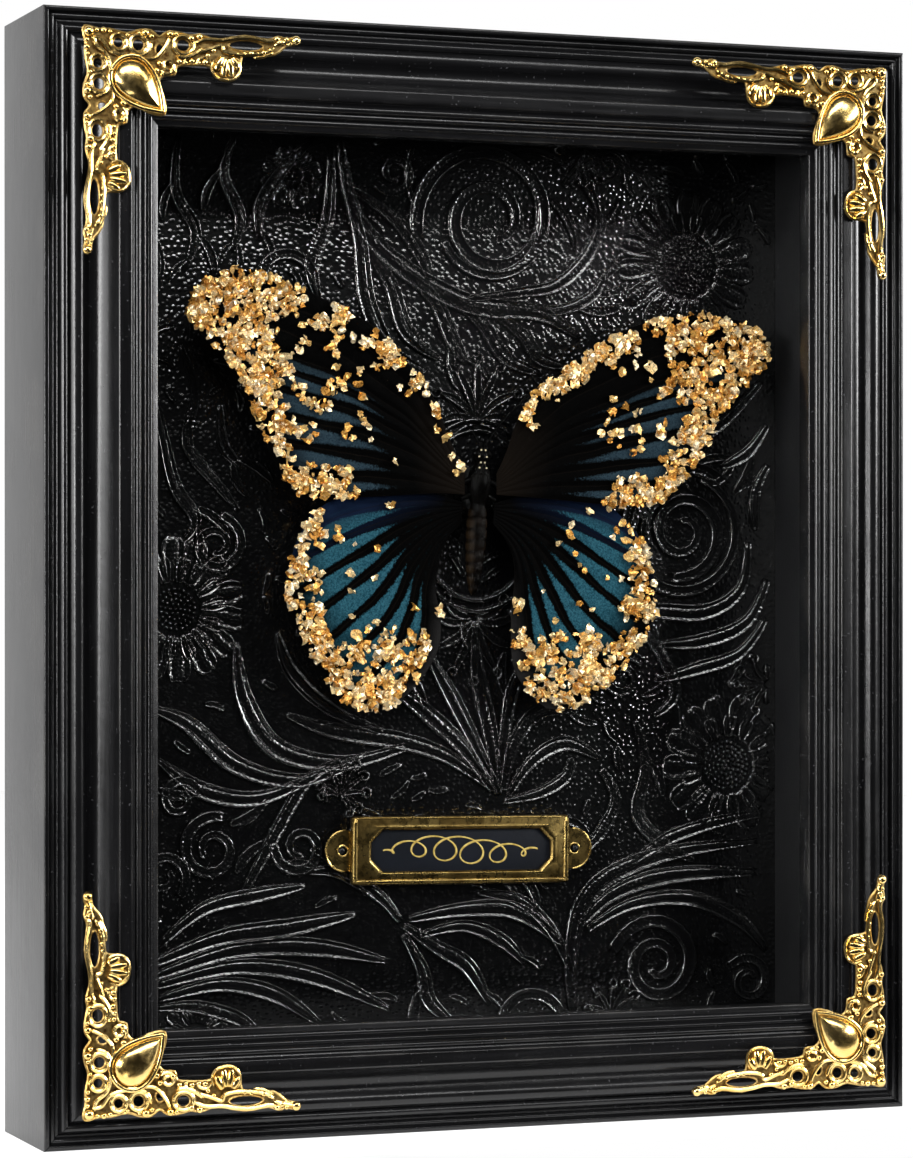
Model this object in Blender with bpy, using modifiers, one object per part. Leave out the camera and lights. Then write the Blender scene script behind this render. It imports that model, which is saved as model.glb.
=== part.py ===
"""Framed butterfly specimen.

A black moulded shadow-box frame with gilt filigree corners stands on its bottom rail.  Behind
its glass, a gilded swallowtail butterfly floats over a tooled leather sheet, above a small brass
label holder.  The front faces -Y, +Z is up, and the origin is at the middle of the base.

Run it with: blender --background --python part.py
"""
import math

import bmesh
import bpy
from mathutils import Matrix, Vector

MM = 0.001

# Driving dimensions, all in millimetres.  A depth counts backwards from the frame's front lip.
FRAME_WIDTH = 218.0
FRAME_HEIGHT = 260.0
FRAME_DEPTH = 36.6
GAP = 0.3

RABBET_WIDTH = 20.7
RABBET_DEPTH = 4.0
CREST_HEIGHT = 4.9

GLASS_THICKNESS = 2.0
SPACER_THICKNESS = 2.5
LEATHER_FRONT = 22.8
LEATHER_THICKNESS = 2.4
MOUNT_BOARD_THICKNESS = 3.0
BACKING_BOARD_THICKNESS = 3.0

ORNAMENT_BASE = CREST_HEIGHT + GAP
ORNAMENT_THICKNESS = 1.4
BOSS_HEIGHT = 3.4

BODY_LENGTH = 36.0
BODY_DEPTH = 16.0
WING_THICKNESS = 0.5
GILDING_THICKNESS = 1.3
FOREWING_DEPTH = 15.0
HINDWING_DEPTH = 16.3
WING_LIFT = math.radians(1.9)

LABEL_WIDTH = 56.0
LABEL_HEIGHT = 16.4
LABEL_DEPTH = 2.4
LABEL_TILT = math.radians(-0.7)

HANGER_THICKNESS = 1.2
POINT_THICKNESS = 0.5

PROUD = ORNAMENT_BASE + BOSS_HEIGHT
BACK = FRAME_DEPTH + GAP + HANGER_THICKNESS
LIP_Y = (PROUD - BACK) / 2
CENTRE_Z = FRAME_HEIGHT / 2

# The moulding's section: distance in from the frame's outer edge, height above the front lip.
MOULDING_FACE = [
    (0.0, -0.4), (0.3, 0.0), (1.1, 0.0), (1.3, -0.9), (1.7, -1.2), (2.1, -0.9), (2.5, -1.3),
    (3.0, -1.9), (3.7, -1.5), (4.3, -0.4), (5.0, 0.0), (5.6, -0.3), (6.0, -0.9), (6.5, -0.3),
    (7.2, 0.3), (8.0, 0.5), (8.8, 0.3), (9.7, -0.3), (10.7, -1.0), (11.7, -1.2), (12.8, -0.9),
    (13.9, 0.0), (14.8, 1.2), (15.6, 2.7), (16.3, 4.4), (19.3, CREST_HEIGHT), (19.9, 3.9),
    (20.5, 3.6), (20.9, 4.0), (21.4, 4.1), (21.9, 3.7), (22.2, 2.9), (22.6, 3.1), (23.1, 2.9),
    (23.6, 1.9), (24.1, 2.2), (24.7, 2.2), (25.2, 1.6), (26.5, 1.2),
]
SIGHT_WIDTH = MOULDING_FACE[-1][0]

# Butterfly outlines, seen from the front: X, and Z above the base.
FOREWING_LEFT = [
    (-1.2, 155.5), (-4.6, 162.5), (-10.6, 175.8), (-17.5, 183.0), (-25.3, 190.6), (-37.6, 196.4),
    (-48.4, 201.0), (-59.7, 202.6), (-68.2, 199.2), (-71.0, 194.0), (-69.6, 188.6),
    (-60.0, 179.6), (-54.8, 169.0), (-50.6, 159.0), (-43.9, 149.6), (-31.0, 149.4),
    (-10.0, 150.6), (-1.2, 150.4),
]
FOREWING_RIGHT = [
    (7.0, 155.5), (9.6, 161.0), (13.0, 169.8), (19.1, 177.6), (28.0, 183.2), (35.2, 188.2),
    (47.5, 193.4), (60.8, 195.2), (72.5, 193.0), (78.6, 186.6), (72.6, 178.6), (65.4, 171.4),
    (62.6, 165.0), (58.6, 157.6), (49.6, 148.8), (38.0, 148.2), (20.0, 149.6), (7.0, 150.4),
]
HINDWING_LEFT = [
    (-1.2, 148.6), (-14.0, 151.6), (-30.0, 150.6), (-39.6, 145.6), (-43.6, 138.0),
    (-45.8, 130.0), (-45.2, 122.6), (-41.6, 115.6), (-38.4, 109.6), (-32.0, 102.0),
    (-24.5, 98.6), (-17.5, 100.6), (-12.0, 105.8), (-7.6, 113.0), (-6.8, 120.6),
    (-8.2, 128.4), (-6.2, 138.0), (-1.6, 143.4),
]
HINDWING_RIGHT = [
    (7.0, 148.4), (20.0, 151.4), (34.0, 149.6), (41.6, 144.6), (46.2, 138.6), (49.0, 130.0),
    (48.8, 121.6), (45.0, 114.0), (39.5, 107.8), (33.4, 102.2), (26.5, 98.6), (20.6, 98.8),
    (15.6, 103.0), (11.8, 110.0), (11.4, 121.6), (12.2, 131.6), (10.8, 138.0), (6.6, 143.4),
]
GILDED_FOREWING_LEFT = [
    (-5.0, 164.0), (-10.8, 175.0), (-17.8, 182.0), (-25.4, 189.6), (-37.8, 195.4),
    (-48.4, 199.8), (-59.6, 201.6), (-68.0, 197.6), (-69.6, 192.0), (-59.2, 180.0),
    (-54.0, 169.0), (-49.8, 159.0), (-43.0, 150.6), (-24.0, 151.4), (-29.0, 158.0),
    (-42.0, 160.0), (-45.0, 172.0), (-42.0, 183.0), (-28.0, 180.0), (-15.0, 171.0),
    (-8.0, 161.0),
]
GILDED_FOREWING_RIGHT = [
    (10.4, 162.6), (13.8, 169.4), (19.8, 176.6), (28.4, 182.0), (35.6, 187.0), (47.6, 192.2),
    (60.8, 194.0), (71.6, 191.8), (77.0, 186.6), (71.6, 179.2), (64.4, 172.0), (61.6, 165.4),
    (57.6, 158.4), (49.0, 150.0), (30.0, 150.6), (27.0, 154.0), (42.0, 160.0), (51.0, 168.0),
    (50.0, 180.0), (38.0, 180.0), (22.0, 171.0), (13.0, 160.0),
]
GILDED_HINDWING_LEFT = [
    (-31.0, 146.4), (-38.6, 143.6), (-42.6, 137.4), (-44.6, 130.0), (-44.0, 123.0),
    (-40.6, 116.4), (-37.4, 110.4), (-31.4, 103.2), (-24.5, 99.8), (-15.4, 104.4),
    (-9.6, 112.0), (-8.6, 121.0), (-9.4, 129.0), (-14.0, 122.0), (-22.0, 113.0),
    (-31.0, 118.0), (-35.0, 128.0), (-29.0, 140.0),
]
GILDED_HINDWING_RIGHT = [
    (35.0, 145.6), (40.4, 142.8), (45.0, 138.0), (47.8, 130.0), (47.6, 122.0), (43.8, 114.8),
    (38.6, 108.8), (32.6, 103.2), (26.4, 99.8), (20.6, 100.4), (13.6, 108.4), (12.8, 121.6),
    (13.2, 131.0), (18.0, 122.0), (25.0, 115.0), (35.0, 117.0), (39.0, 126.0), (36.0, 138.0),
]

# The butterfly's turned body: distance down from the head's top, radius.
BODY_PROFILE = [
    (0.0, 0.0), (0.5, 1.2), (1.8, 2.0), (3.2, 1.9), (4.2, 1.4), (5.4, 2.2), (7.6, 2.8),
    (10.6, 2.8), (13.0, 2.3), (15.0, 1.9), (17.6, 2.4), (22.0, 2.5), (27.0, 2.3), (31.0, 1.9),
    (34.0, 1.3), (35.5, 0.7), (BODY_LENGTH, 0.0),
]
BODY_TOP = (3.4, 162.0)
BODY_TIP = (1.2, 126.3)

# One arm of a corner ornament: distance along the arm from the outer corner, distance inwards.
# The other arm is its mirror image about the corner's diagonal.
ORNAMENT_ARM = [
    (0.5, 0.5), (1.6, 0.0), (4.0, 0.7), (6.6, 0.4), (10.6, 1.3), (13.6, 0.2), (16.2, 0.2),
    (18.2, 1.8), (20.2, 0.2), (23.0, 0.3), (25.6, 0.9), (28.0, 0.5), (32.0, 1.7), (38.6, 0.3),
    (44.0, 1.0), (46.6, 0.0), (48.6, 0.5), (50.6, 0.0), (52.0, 0.9), (51.4, 2.1), (48.6, 2.6),
    (45.6, 4.9), (41.0, 5.3), (37.8, 5.7), (37.4, 9.6), (34.6, 11.4), (31.4, 10.4),
    (30.2, 8.3), (25.6, 8.2), (22.6, 8.6), (22.0, 10.6), (19.2, 10.9), (18.2, 12.4),
    (19.6, 16.0), (20.0, 20.0),
]
ORNAMENT_HOLES = [
    (8.5, 3.7, 1.3, 1.3), (13.2, 4.0, 1.5, 1.5), (18.3, 4.8, 1.1, 1.3), (23.8, 3.6, 1.7, 1.5),
    (38.8, 2.9, 4.2, 1.3),
]
HOLE_SIDES = 8
BOSS_CENTRE = 13.4
BOSS_LENGTH = 15.6
BOSS_WIDTH = 10.2

# Where each ornament's outer corner lies: in from the frame's side edge, in from its end edge.
ORNAMENT_PLACES = {
    "corner_ornament_top_left": (-1, 1, 7.2, 5.0),
    "corner_ornament_top_right": (1, 1, 8.0, 4.8),
    "corner_ornament_bottom_left": (-1, -1, 7.2, 7.4),
    "corner_ornament_bottom_right": (1, -1, 8.0, 6.0),
}

MATERIALS = {
    "black_wood": ((0.012, 0.012, 0.013), 0.38, 0.0),
    "gilt_metal": ((0.83, 0.58, 0.20), 0.24, 1.0),
    "aged_brass": ((0.36, 0.26, 0.10), 0.36, 1.0),
    "clear_glass": ((0.95, 0.97, 0.97), 0.02, 0.0),
    "black_card": ((0.012, 0.012, 0.014), 0.75, 0.0),
    "tooled_leather": ((0.010, 0.010, 0.011), 0.28, 0.0),
    "backing_board": ((0.020, 0.019, 0.018), 0.85, 0.0),
    "wing_membrane": ((0.010, 0.022, 0.034), 0.50, 0.0),
    "insect_body": ((0.020, 0.013, 0.009), 0.45, 0.0),
    "gold_leaf": ((0.93, 0.62, 0.20), 0.22, 1.0),
    "black_foam": ((0.02, 0.02, 0.02), 0.90, 0.0),
    "black_steel": ((0.03, 0.03, 0.03), 0.40, 1.0),
    "zinc_steel": ((0.62, 0.62, 0.60), 0.35, 1.0),
}

MODEL = "framed_butterfly_specimen"
CUTTERS = "cutters"


def clear_scene():
    for thing in list(bpy.data.objects):
        bpy.data.objects.remove(thing, do_unlink=True)
    for name in (MODEL, CUTTERS):
        if name in bpy.data.collections:
            bpy.data.collections.remove(bpy.data.collections[name])
        group = bpy.data.collections.new(name)
        bpy.context.scene.collection.children.link(group)


def finish(slot):
    """The named finish, made the first time it is asked for."""
    if slot in bpy.data.materials:
        return bpy.data.materials[slot]
    colour, roughness, metallic = MATERIALS[slot]
    made = bpy.data.materials.new(slot)
    made.use_nodes = True
    shader = made.node_tree.nodes["Principled BSDF"]
    shader.inputs["Base Color"].default_value = (*colour, 1.0)
    shader.inputs["Roughness"].default_value = roughness
    shader.inputs["Metallic"].default_value = metallic
    if slot == "clear_glass":
        shader.inputs["Transmission Weight"].default_value = 1.0
    made.diffuse_color = (*colour, 1.0)
    return made


def new_object(name, data, slot=None, group=MODEL):
    made = bpy.data.objects.new(name, data)
    bpy.data.collections[group].objects.link(made)
    if slot:
        data.materials.append(finish(slot))
    if group == CUTTERS:
        made.hide_render = True
        made.display_type = "WIRE"
    return made


def at_depth(x, depth, z):
    """A point in metres from X, depth behind the front lip and height above the base."""
    return Vector((x, LIP_Y + depth, z)) * MM


def as_mesh(curve_object):
    """Replaces a curve object with a welded mesh object of the same name and place."""
    name = curve_object.name
    group = curve_object.users_collection[0]
    place = curve_object.matrix_world.copy()
    curve_object.name = name + "_outline"
    graph = bpy.context.evaluated_depsgraph_get()
    mesh = bpy.data.meshes.new_from_object(curve_object.evaluated_get(graph))
    work = bmesh.new()
    work.from_mesh(mesh)
    bmesh.ops.remove_doubles(work, verts=work.verts, dist=1e-6)
    bmesh.ops.recalc_face_normals(work, faces=work.faces)
    work.to_mesh(mesh)
    work.free()
    made = bpy.data.objects.new(name, mesh)
    group.objects.link(made)
    made.matrix_world = place
    bpy.data.objects.remove(curve_object, do_unlink=True)
    return made


def flat_outline(name, loops, thickness, place, slot=None, group=MODEL):
    """A flat piece cut to an outline with holes; its local Z is its thickness, centred."""
    curve = bpy.data.curves.new(name, "CURVE")
    curve.dimensions = "2D"
    curve.fill_mode = "BOTH"
    curve.extrude = thickness / 2 * MM
    for loop in loops:
        spline = curve.splines.new("POLY")
        spline.points.add(len(loop) - 1)
        for point, (x, y) in zip(spline.points, loop):
            point.co = (x * MM, y * MM, 0.0, 1.0)
        spline.use_cyclic_u = True
    made = new_object(name, curve, slot, group)
    made.matrix_world = place
    bpy.context.view_layer.update()
    return as_mesh(made)


def upright(x, depth, z, turn=0.0, lift=0.0):
    """Stands a flat outline up to face the front, turned in its plane and lifted about Z."""
    stand = Matrix.Rotation(math.radians(90), 4, "X")
    in_plane = Matrix.Rotation(turn, 4, "Z")
    return Matrix.Translation(at_depth(x, depth, z)) @ Matrix.Rotation(lift, 4, "Z") @ stand @ in_plane


def box(name, low, high, slot=None, group=MODEL):
    """A box from its low and high corners, each X, depth and Z."""
    mesh = bpy.data.meshes.new(name)
    work = bmesh.new()
    size = [(b - a) * MM for a, b in zip(low, high)]
    bmesh.ops.create_cube(work, size=1.0, matrix=Matrix.Diagonal((*size, 1.0)))
    work.to_mesh(mesh)
    work.free()
    made = new_object(name, mesh, slot, group)
    made.location = at_depth(*[(a + b) / 2 for a, b in zip(low, high)])
    return made


def disc(name, x, z, front, back, radius, sides, slot=None, group=MODEL):
    """A short round piece whose axis runs front to back."""
    mesh = bpy.data.meshes.new(name)
    work = bmesh.new()
    bmesh.ops.create_cone(work, cap_ends=True, cap_tris=False, segments=sides, radius1=radius * MM,
                          radius2=radius * MM, depth=(back - front) * MM)
    work.to_mesh(mesh)
    work.free()
    made = new_object(name, mesh, slot, group)
    made.rotation_euler = (math.radians(90), 0.0, 0.0)
    made.location = at_depth(x, (front + back) / 2, z)
    return made


def combine(target, tools, operation):
    """Joins or cuts with other objects, and leaves the result as the target's own mesh."""
    for tool in tools:
        change = target.modifiers.new(operation.lower(), "BOOLEAN")
        change.operation = operation
        change.solver = "EXACT"
        change.object = tool
    bpy.context.view_layer.update()
    graph = bpy.context.evaluated_depsgraph_get()
    mesh = bpy.data.meshes.new_from_object(target.evaluated_get(graph))
    target.modifiers.clear()
    target.data = mesh
    for tool in tools:
        bpy.data.objects.remove(tool, do_unlink=True)
    return target


def smooth_loop(points, steps):
    """A closed loop that passes smoothly through the points."""
    loop = []
    count = len(points)
    for index in range(count):
        a, b, c, d = [Vector(points[(index + shift) % count]) for shift in (-1, 0, 1, 2)]
        for step in range(steps):
            t = step / steps
            loop.append(tuple(0.5 * (2 * b + (c - a) * t + (2 * a - 5 * b + 4 * c - d) * t * t
                                     + (3 * b - a - 3 * c + d) * t ** 3)))
    return loop


def ellipse(x, y, half_width, half_height, sides):
    turn = 2 * math.pi / sides
    return [(x + half_width * math.cos(i * turn), y + half_height * math.sin(i * turn))
            for i in range(sides)]


def rail(name, length, half_span, turn):
    """One mitred length of moulding; half_span is from the frame's centre to its outer edge."""
    section = MOULDING_FACE + [(SIGHT_WIDTH, -RABBET_DEPTH), (RABBET_WIDTH, -RABBET_DEPTH),
                               (RABBET_WIDTH, -FRAME_DEPTH), (0.0, -FRAME_DEPTH)]
    lie = Matrix(((0, 0, 1, 0), (0, -1, 0, 0), (1, 0, 0, 0), (0, 0, 0, 1)))
    centre = Matrix.Translation(at_depth(0.0, 0.0, CENTRE_Z))
    outwards = Matrix.Translation((0.0, 0.0, -half_span * MM))
    place = centre @ Matrix.Rotation(turn, 4, "Y") @ outwards @ lie
    made = flat_outline(name, [section], length, place, "black_wood")
    work = bmesh.new()
    work.from_mesh(made.data)
    for end in (-1, 1):
        mitre = Vector((1.0, 0.0, end)).normalized()
        corner = Vector((0.0, 0.0, end * length / 2 * MM)) - mitre * GAP / 2 * MM
        everything = work.verts[:] + work.edges[:] + work.faces[:]
        bmesh.ops.bisect_plane(work, geom=everything, dist=1e-7, plane_co=corner, plane_no=mitre,
                               clear_outer=True)
        rim = [edge for edge in work.edges if edge.is_boundary]
        bmesh.ops.holes_fill(work, edges=rim, sides=0)
    bmesh.ops.recalc_face_normals(work, faces=work.faces)
    work.to_mesh(made.data)
    work.free()


def make_frame():
    half_width = FRAME_WIDTH / 2
    half_height = FRAME_HEIGHT / 2
    quarter = math.pi / 2
    rail("rail_bottom", FRAME_WIDTH, half_height, 0.0)
    rail("rail_left", FRAME_HEIGHT, half_width, quarter)
    rail("rail_top", FRAME_WIDTH, half_height, 2 * quarter)
    rail("rail_right", FRAME_HEIGHT, half_width, -quarter)


def make_layers():
    """The sheets that fill the rabbet, front to back, and the strips that space them."""
    half_x = FRAME_WIDTH / 2 - RABBET_WIDTH - GAP
    low_z = RABBET_WIDTH + GAP
    high_z = FRAME_HEIGHT - low_z

    def sheet(name, front, thickness, slot):
        box(name, (-half_x, front, low_z), (half_x, front + thickness, high_z), slot)
        return front + thickness + GAP

    behind_glass = sheet("glass_pane", RABBET_DEPTH + GAP, GLASS_THICKNESS, "clear_glass")
    spacer_back = LEATHER_FRONT - GAP
    inner_x = half_x - SPACER_THICKNESS
    for side, sign in (("left", -1), ("right", 1)):
        edges = sorted((sign * half_x, sign * inner_x))
        box("spacer_" + side, (edges[0], behind_glass, low_z), (edges[1], spacer_back, high_z),
            "black_card")
    for side, bottom in (("bottom", low_z), ("top", high_z - SPACER_THICKNESS)):
        box("spacer_" + side, (GAP - inner_x, behind_glass, bottom),
            (inner_x - GAP, spacer_back, bottom + SPACER_THICKNESS), "black_card")
    board_front = sheet("embossed_leather", LEATHER_FRONT, LEATHER_THICKNESS, "tooled_leather")
    backing_front = sheet("mount_board", board_front, MOUNT_BOARD_THICKNESS, "black_card")
    return sheet("backing_board", backing_front, BACKING_BOARD_THICKNESS, "backing_board")


def make_back_fittings(point_front):
    """Flat glazier's points that hold the back in, and a sawtooth hanger on the top rail."""
    point_length, point_width, spread_x, spread_z = 9.0, 6.0, 50.0, 60.0
    half_x = FRAME_WIDTH / 2 - RABBET_WIDTH - GAP
    low_z = RABBET_WIDTH + GAP
    high_z = FRAME_HEIGHT - low_z
    point_back = point_front + POINT_THICKNESS
    for number, sign in ((1, -1), (2, 1)):
        middle_x = sign * spread_x
        middle_z = CENTRE_Z + sign * spread_z
        half = point_width / 2
        box(f"point_bottom_{number}", (middle_x - half, point_front, low_z),
            (middle_x + half, point_back, low_z + point_length), "black_steel")
        box(f"point_top_{number}", (middle_x - half, point_front, high_z - point_length),
            (middle_x + half, point_back, high_z), "black_steel")
        box(f"point_left_{number}", (-half_x, point_front, middle_z - half),
            (point_length - half_x, point_back, middle_z + half), "black_steel")
        box(f"point_right_{number}", (half_x - point_length, point_front, middle_z - half),
            (half_x, point_back, middle_z + half), "black_steel")

    half_length, height, nail_x, teeth = 24.0, 7.0, 20.0, 10
    nail_hole, nail_radius, tooth_height = 1.2, 0.9, 1.4
    middle_z = FRAME_HEIGHT - RABBET_WIDTH / 2
    outline = [(half_length, height / 2), (-half_length, height / 2),
               (-half_length, -height / 2), (-nail_x + 4, -height / 2)]
    pitch = (2 * nail_x - 8) / teeth
    for tooth in range(teeth):
        left = -nail_x + 4 + tooth * pitch
        outline.append((left + pitch / 2, -height / 2 + tooth_height))
        outline.append((left + pitch, -height / 2))
    outline.append((half_length, -height / 2))
    holes = [ellipse(sign * nail_x, 0.0, nail_hole, nail_hole, 12) for sign in (-1, 1)]
    front = FRAME_DEPTH + GAP
    flat_outline("sawtooth_hanger", [outline] + holes, HANGER_THICKNESS,
                 upright(0.0, front + HANGER_THICKNESS / 2, middle_z), "zinc_steel")
    for side, sign in (("left", -1), ("right", 1)):
        disc("hanger_nail_" + side, sign * nail_x, middle_z, front, front + HANGER_THICKNESS,
             nail_radius, 12, "zinc_steel")


def make_boss(name):
    """A domed teardrop that points along +X, lying on the ornament's plane."""
    mesh = bpy.data.meshes.new(name)
    work = bmesh.new()
    bmesh.ops.create_uvsphere(work, u_segments=16, v_segments=8, radius=1.0)
    bmesh.ops.rotate(work, verts=work.verts, matrix=Matrix.Rotation(math.radians(90), 3, "Y"))
    for vert in work.verts:
        along = vert.co.x
        taper = math.cos(math.pi / 4 * (1 + along)) ** 0.8 if along > -1 else 1.0
        narrow = min(1.0, taper * 1.35)
        vert.co.x = along * BOSS_LENGTH / 2 * MM
        vert.co.y *= narrow * BOSS_WIDTH / 2 * MM
        vert.co.z *= (0.35 + 0.65 * narrow) * (BOSS_HEIGHT - ORNAMENT_THICKNESS / 2) * MM
    highest = max(vert.co.z for vert in work.verts)
    reach = (BOSS_HEIGHT - ORNAMENT_THICKNESS / 2) * MM / highest
    bmesh.ops.scale(work, verts=work.verts, vec=(1.0, 1.0, reach))
    everything = work.verts[:] + work.edges[:] + work.faces[:]
    bmesh.ops.bisect_plane(work, geom=everything, dist=1e-7, plane_co=(0, 0, 0), plane_no=(0, 0, -1),
                           clear_outer=True)
    bmesh.ops.holes_fill(work, edges=[edge for edge in work.edges if edge.is_boundary], sides=0)
    bmesh.ops.recalc_face_normals(work, faces=work.faces)
    work.to_mesh(mesh)
    work.free()
    return new_object(name, mesh, "gilt_metal", CUTTERS)


def make_ornaments():
    """Four pierced corners, each an L of filigree with a domed teardrop on its diagonal."""
    other_arm = [(across, along) for along, across in reversed(ORNAMENT_ARM[1:-1])]
    outline = ORNAMENT_ARM + other_arm
    holes = []
    for along, across, half_along, half_across in ORNAMENT_HOLES:
        holes.append(ellipse(along, across, half_along, half_across, HOLE_SIDES))
        holes.append(ellipse(across, along, half_across, half_along, HOLE_SIDES))
    middle = -(ORNAMENT_BASE + ORNAMENT_THICKNESS / 2)
    for name, (side, end, in_side, in_end) in ORNAMENT_PLACES.items():
        corner_x = side * (FRAME_WIDTH / 2 - in_side)
        corner_z = CENTRE_Z + end * (FRAME_HEIGHT / 2 - in_end)
        loops = [[(-side * x, -end * y) for x, y in loop] for loop in [outline] + holes]
        place = upright(corner_x, middle, corner_z)
        plate = flat_outline(name, loops, ORNAMENT_THICKNESS, place, "gilt_metal")
        boss = make_boss(name + "_boss")
        direction = math.atan2(-end, -side)
        centre = Matrix.Translation((-side * BOSS_CENTRE * MM, -end * BOSS_CENTRE * MM, 0.0))
        boss.matrix_world = place @ centre @ Matrix.Rotation(direction, 4, "Z")
        combine(plate, [boss], "UNION")


def make_label():
    """A brass card holder with half-round ears, its blank card, and the two pins in its ears."""
    ear_radius, ear_thickness, hole_radius, pin_radius = 4.9, 0.7, 1.3, 0.9
    half_x, half_z = LABEL_WIDTH / 2, LABEL_HEIGHT / 2
    back = LEATHER_FRONT - GAP
    front = back - LABEL_DEPTH
    plate_thickness, wall, card_thickness = 0.9, 1.8, 0.5
    centre_x, centre_z = 0.2, 64.7
    ear_x = half_x + 1.6

    def place(depth):
        return upright(centre_x, depth, centre_z, LABEL_TILT)

    outline = [(-half_x, -half_z), (half_x, -half_z), (half_x, half_z), (-half_x, half_z)]
    window_x, window_z, chamfer = 23.2, 5.0, 3.0
    window = [(-window_x + chamfer, -window_z), (window_x - chamfer, -window_z),
              (window_x, -window_z + chamfer), (window_x, window_z - chamfer),
              (window_x - chamfer, window_z), (-window_x + chamfer, window_z),
              (-window_x, window_z - chamfer), (-window_x, -window_z + chamfer)]
    holder = flat_outline("label_holder", [outline, window], LABEL_DEPTH,
                          place((front + back) / 2), "aged_brass")
    pocket_x = half_x - wall
    pocket_loop = [(-pocket_x, wall - half_z), (pocket_x, wall - half_z),
                   (pocket_x, half_z + wall), (-pocket_x, half_z + wall)]
    pocket_depth = LABEL_DEPTH - plate_thickness
    pocket = flat_outline("label_pocket", [pocket_loop], pocket_depth * 2, place(back), None,
                          CUTTERS)
    combine(holder, [pocket], "DIFFERENCE")
    ears = []
    for side, sign in (("left", -1), ("right", 1)):
        arc = [(sign * (ear_x + ear_radius * math.sin(step * math.pi / 10)),
                ear_radius * math.cos(step * math.pi / 10)) for step in range(11)]
        inner = sign * (half_x - wall / 2)
        loop = [(inner, ear_radius)] + arc + [(inner, -ear_radius)]
        hole = ellipse(sign * (ear_x + 0.6), 0.0, hole_radius, hole_radius, 10)
        ears.append(flat_outline("label_ear_" + side, [loop, hole], ear_thickness,
                                 place(back - ear_thickness / 2), None, CUTTERS))
        spot = place(back) @ Vector((sign * (ear_x + 0.6) * MM, 0.0, 0.0))
        disc("label_pin_" + side, spot.x / MM, spot.z / MM, back - ear_thickness - GAP, back,
             pin_radius, 10, "black_steel")
    combine(holder, ears, "UNION")
    card_x = pocket_x - GAP
    card = [(-card_x, wall - half_z + GAP), (card_x, wall - half_z + GAP),
            (card_x, half_z - GAP), (-card_x, half_z - GAP)]
    card_front = front + plate_thickness + GAP
    flat_outline("label_card", [card], card_thickness, place(card_front + card_thickness / 2),
                 "black_card")


def make_wing(name, outline, depth, thickness, slot, root, lift):
    loop = [(x - root[0], z - root[1]) for x, z in smooth_loop(outline, 2)]
    flat_outline(name, [loop], thickness, upright(root[0], depth, root[1], 0.0, lift), slot)


def make_butterfly():
    """Body, wings and antennae, and the layer of leaf gilding on each wing."""
    top, tip = Vector(BODY_TOP), Vector(BODY_TIP)
    lean = math.atan2(top.x - tip.x, top.y - tip.y)
    mesh = bpy.data.meshes.new("butterfly_body")
    work = bmesh.new()
    verts = [work.verts.new((radius * MM, 0.0, -down * MM)) for down, radius in BODY_PROFILE]
    for first, second in zip(verts, verts[1:]):
        work.edges.new((first, second))
    work.to_mesh(mesh)
    work.free()
    body = new_object("butterfly_body", mesh, "insect_body")
    turn = body.modifiers.new("turn", "SCREW")
    turn.steps = turn.render_steps = 14
    turn.use_merge_vertices = True
    turn.merge_threshold = 1e-5
    turn.use_smooth_shade = True
    body.location = at_depth(top.x, BODY_DEPTH, top.y)
    body.rotation_euler = (0.0, lean, 0.0)

    root_left, root_right = (-1.2, 150.0), (7.0, 150.0)
    wings = {
        "forewing_left": (FOREWING_LEFT, GILDED_FOREWING_LEFT, FOREWING_DEPTH, root_left, WING_LIFT),
        "forewing_right": (FOREWING_RIGHT, GILDED_FOREWING_RIGHT, FOREWING_DEPTH, root_right,
                           -WING_LIFT),
        "hindwing_left": (HINDWING_LEFT, GILDED_HINDWING_LEFT, HINDWING_DEPTH, root_left, 0.0),
        "hindwing_right": (HINDWING_RIGHT, GILDED_HINDWING_RIGHT, HINDWING_DEPTH, root_right, 0.0),
    }
    for name, (outline, gilded, depth, root, lift) in wings.items():
        make_wing(name, outline, depth, WING_THICKNESS, "wing_membrane", root, lift)
        ahead = WING_THICKNESS / 2 + GAP + GILDING_THICKNESS / 2
        make_wing("gilding_" + name, gilded, depth - ahead, GILDING_THICKNESS, "gold_leaf", root,
                  lift)

    for side, sign in (("left", -1), ("right", 1)):
        curve = bpy.data.curves.new("antenna_" + side, "CURVE")
        curve.dimensions = "3D"
        curve.bevel_depth = 0.22 * MM
        curve.bevel_resolution = 1
        curve.use_fill_caps = True
        spline = curve.splines.new("POLY")
        count = 9
        spline.points.add(count - 1)
        for index, point in enumerate(spline.points):
            t = index / (count - 1)
            x = top.x + sign * (0.8 + 8.5 * t + 2.0 * t * t)
            z = top.y + 0.4 + 14.0 * t - 2.0 * t * t
            point.co = (*at_depth(x, BODY_DEPTH - 1.0 - 1.5 * t, z), 1.0)
            point.radius = 2.4 if index >= count - 2 else 1.0
        new_object("antenna_" + side, curve, "insect_body")

    block_half, block_low, block_high = 2.0, 147.0, 157.0
    thorax_radius = max(radius for _, radius in BODY_PROFILE)
    box("specimen_block", (2.8 - block_half, BODY_DEPTH + thorax_radius + GAP, block_low),
        (2.8 + block_half, LEATHER_FRONT - GAP, block_high), "black_foam")


def main():
    clear_scene()
    make_frame()
    point_front = make_layers()
    make_back_fittings(point_front)
    make_ornaments()
    make_label()
    make_butterfly()


main()
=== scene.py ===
import math
import random

import bmesh
import bpy
from mathutils import Matrix, Vector, noise


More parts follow.
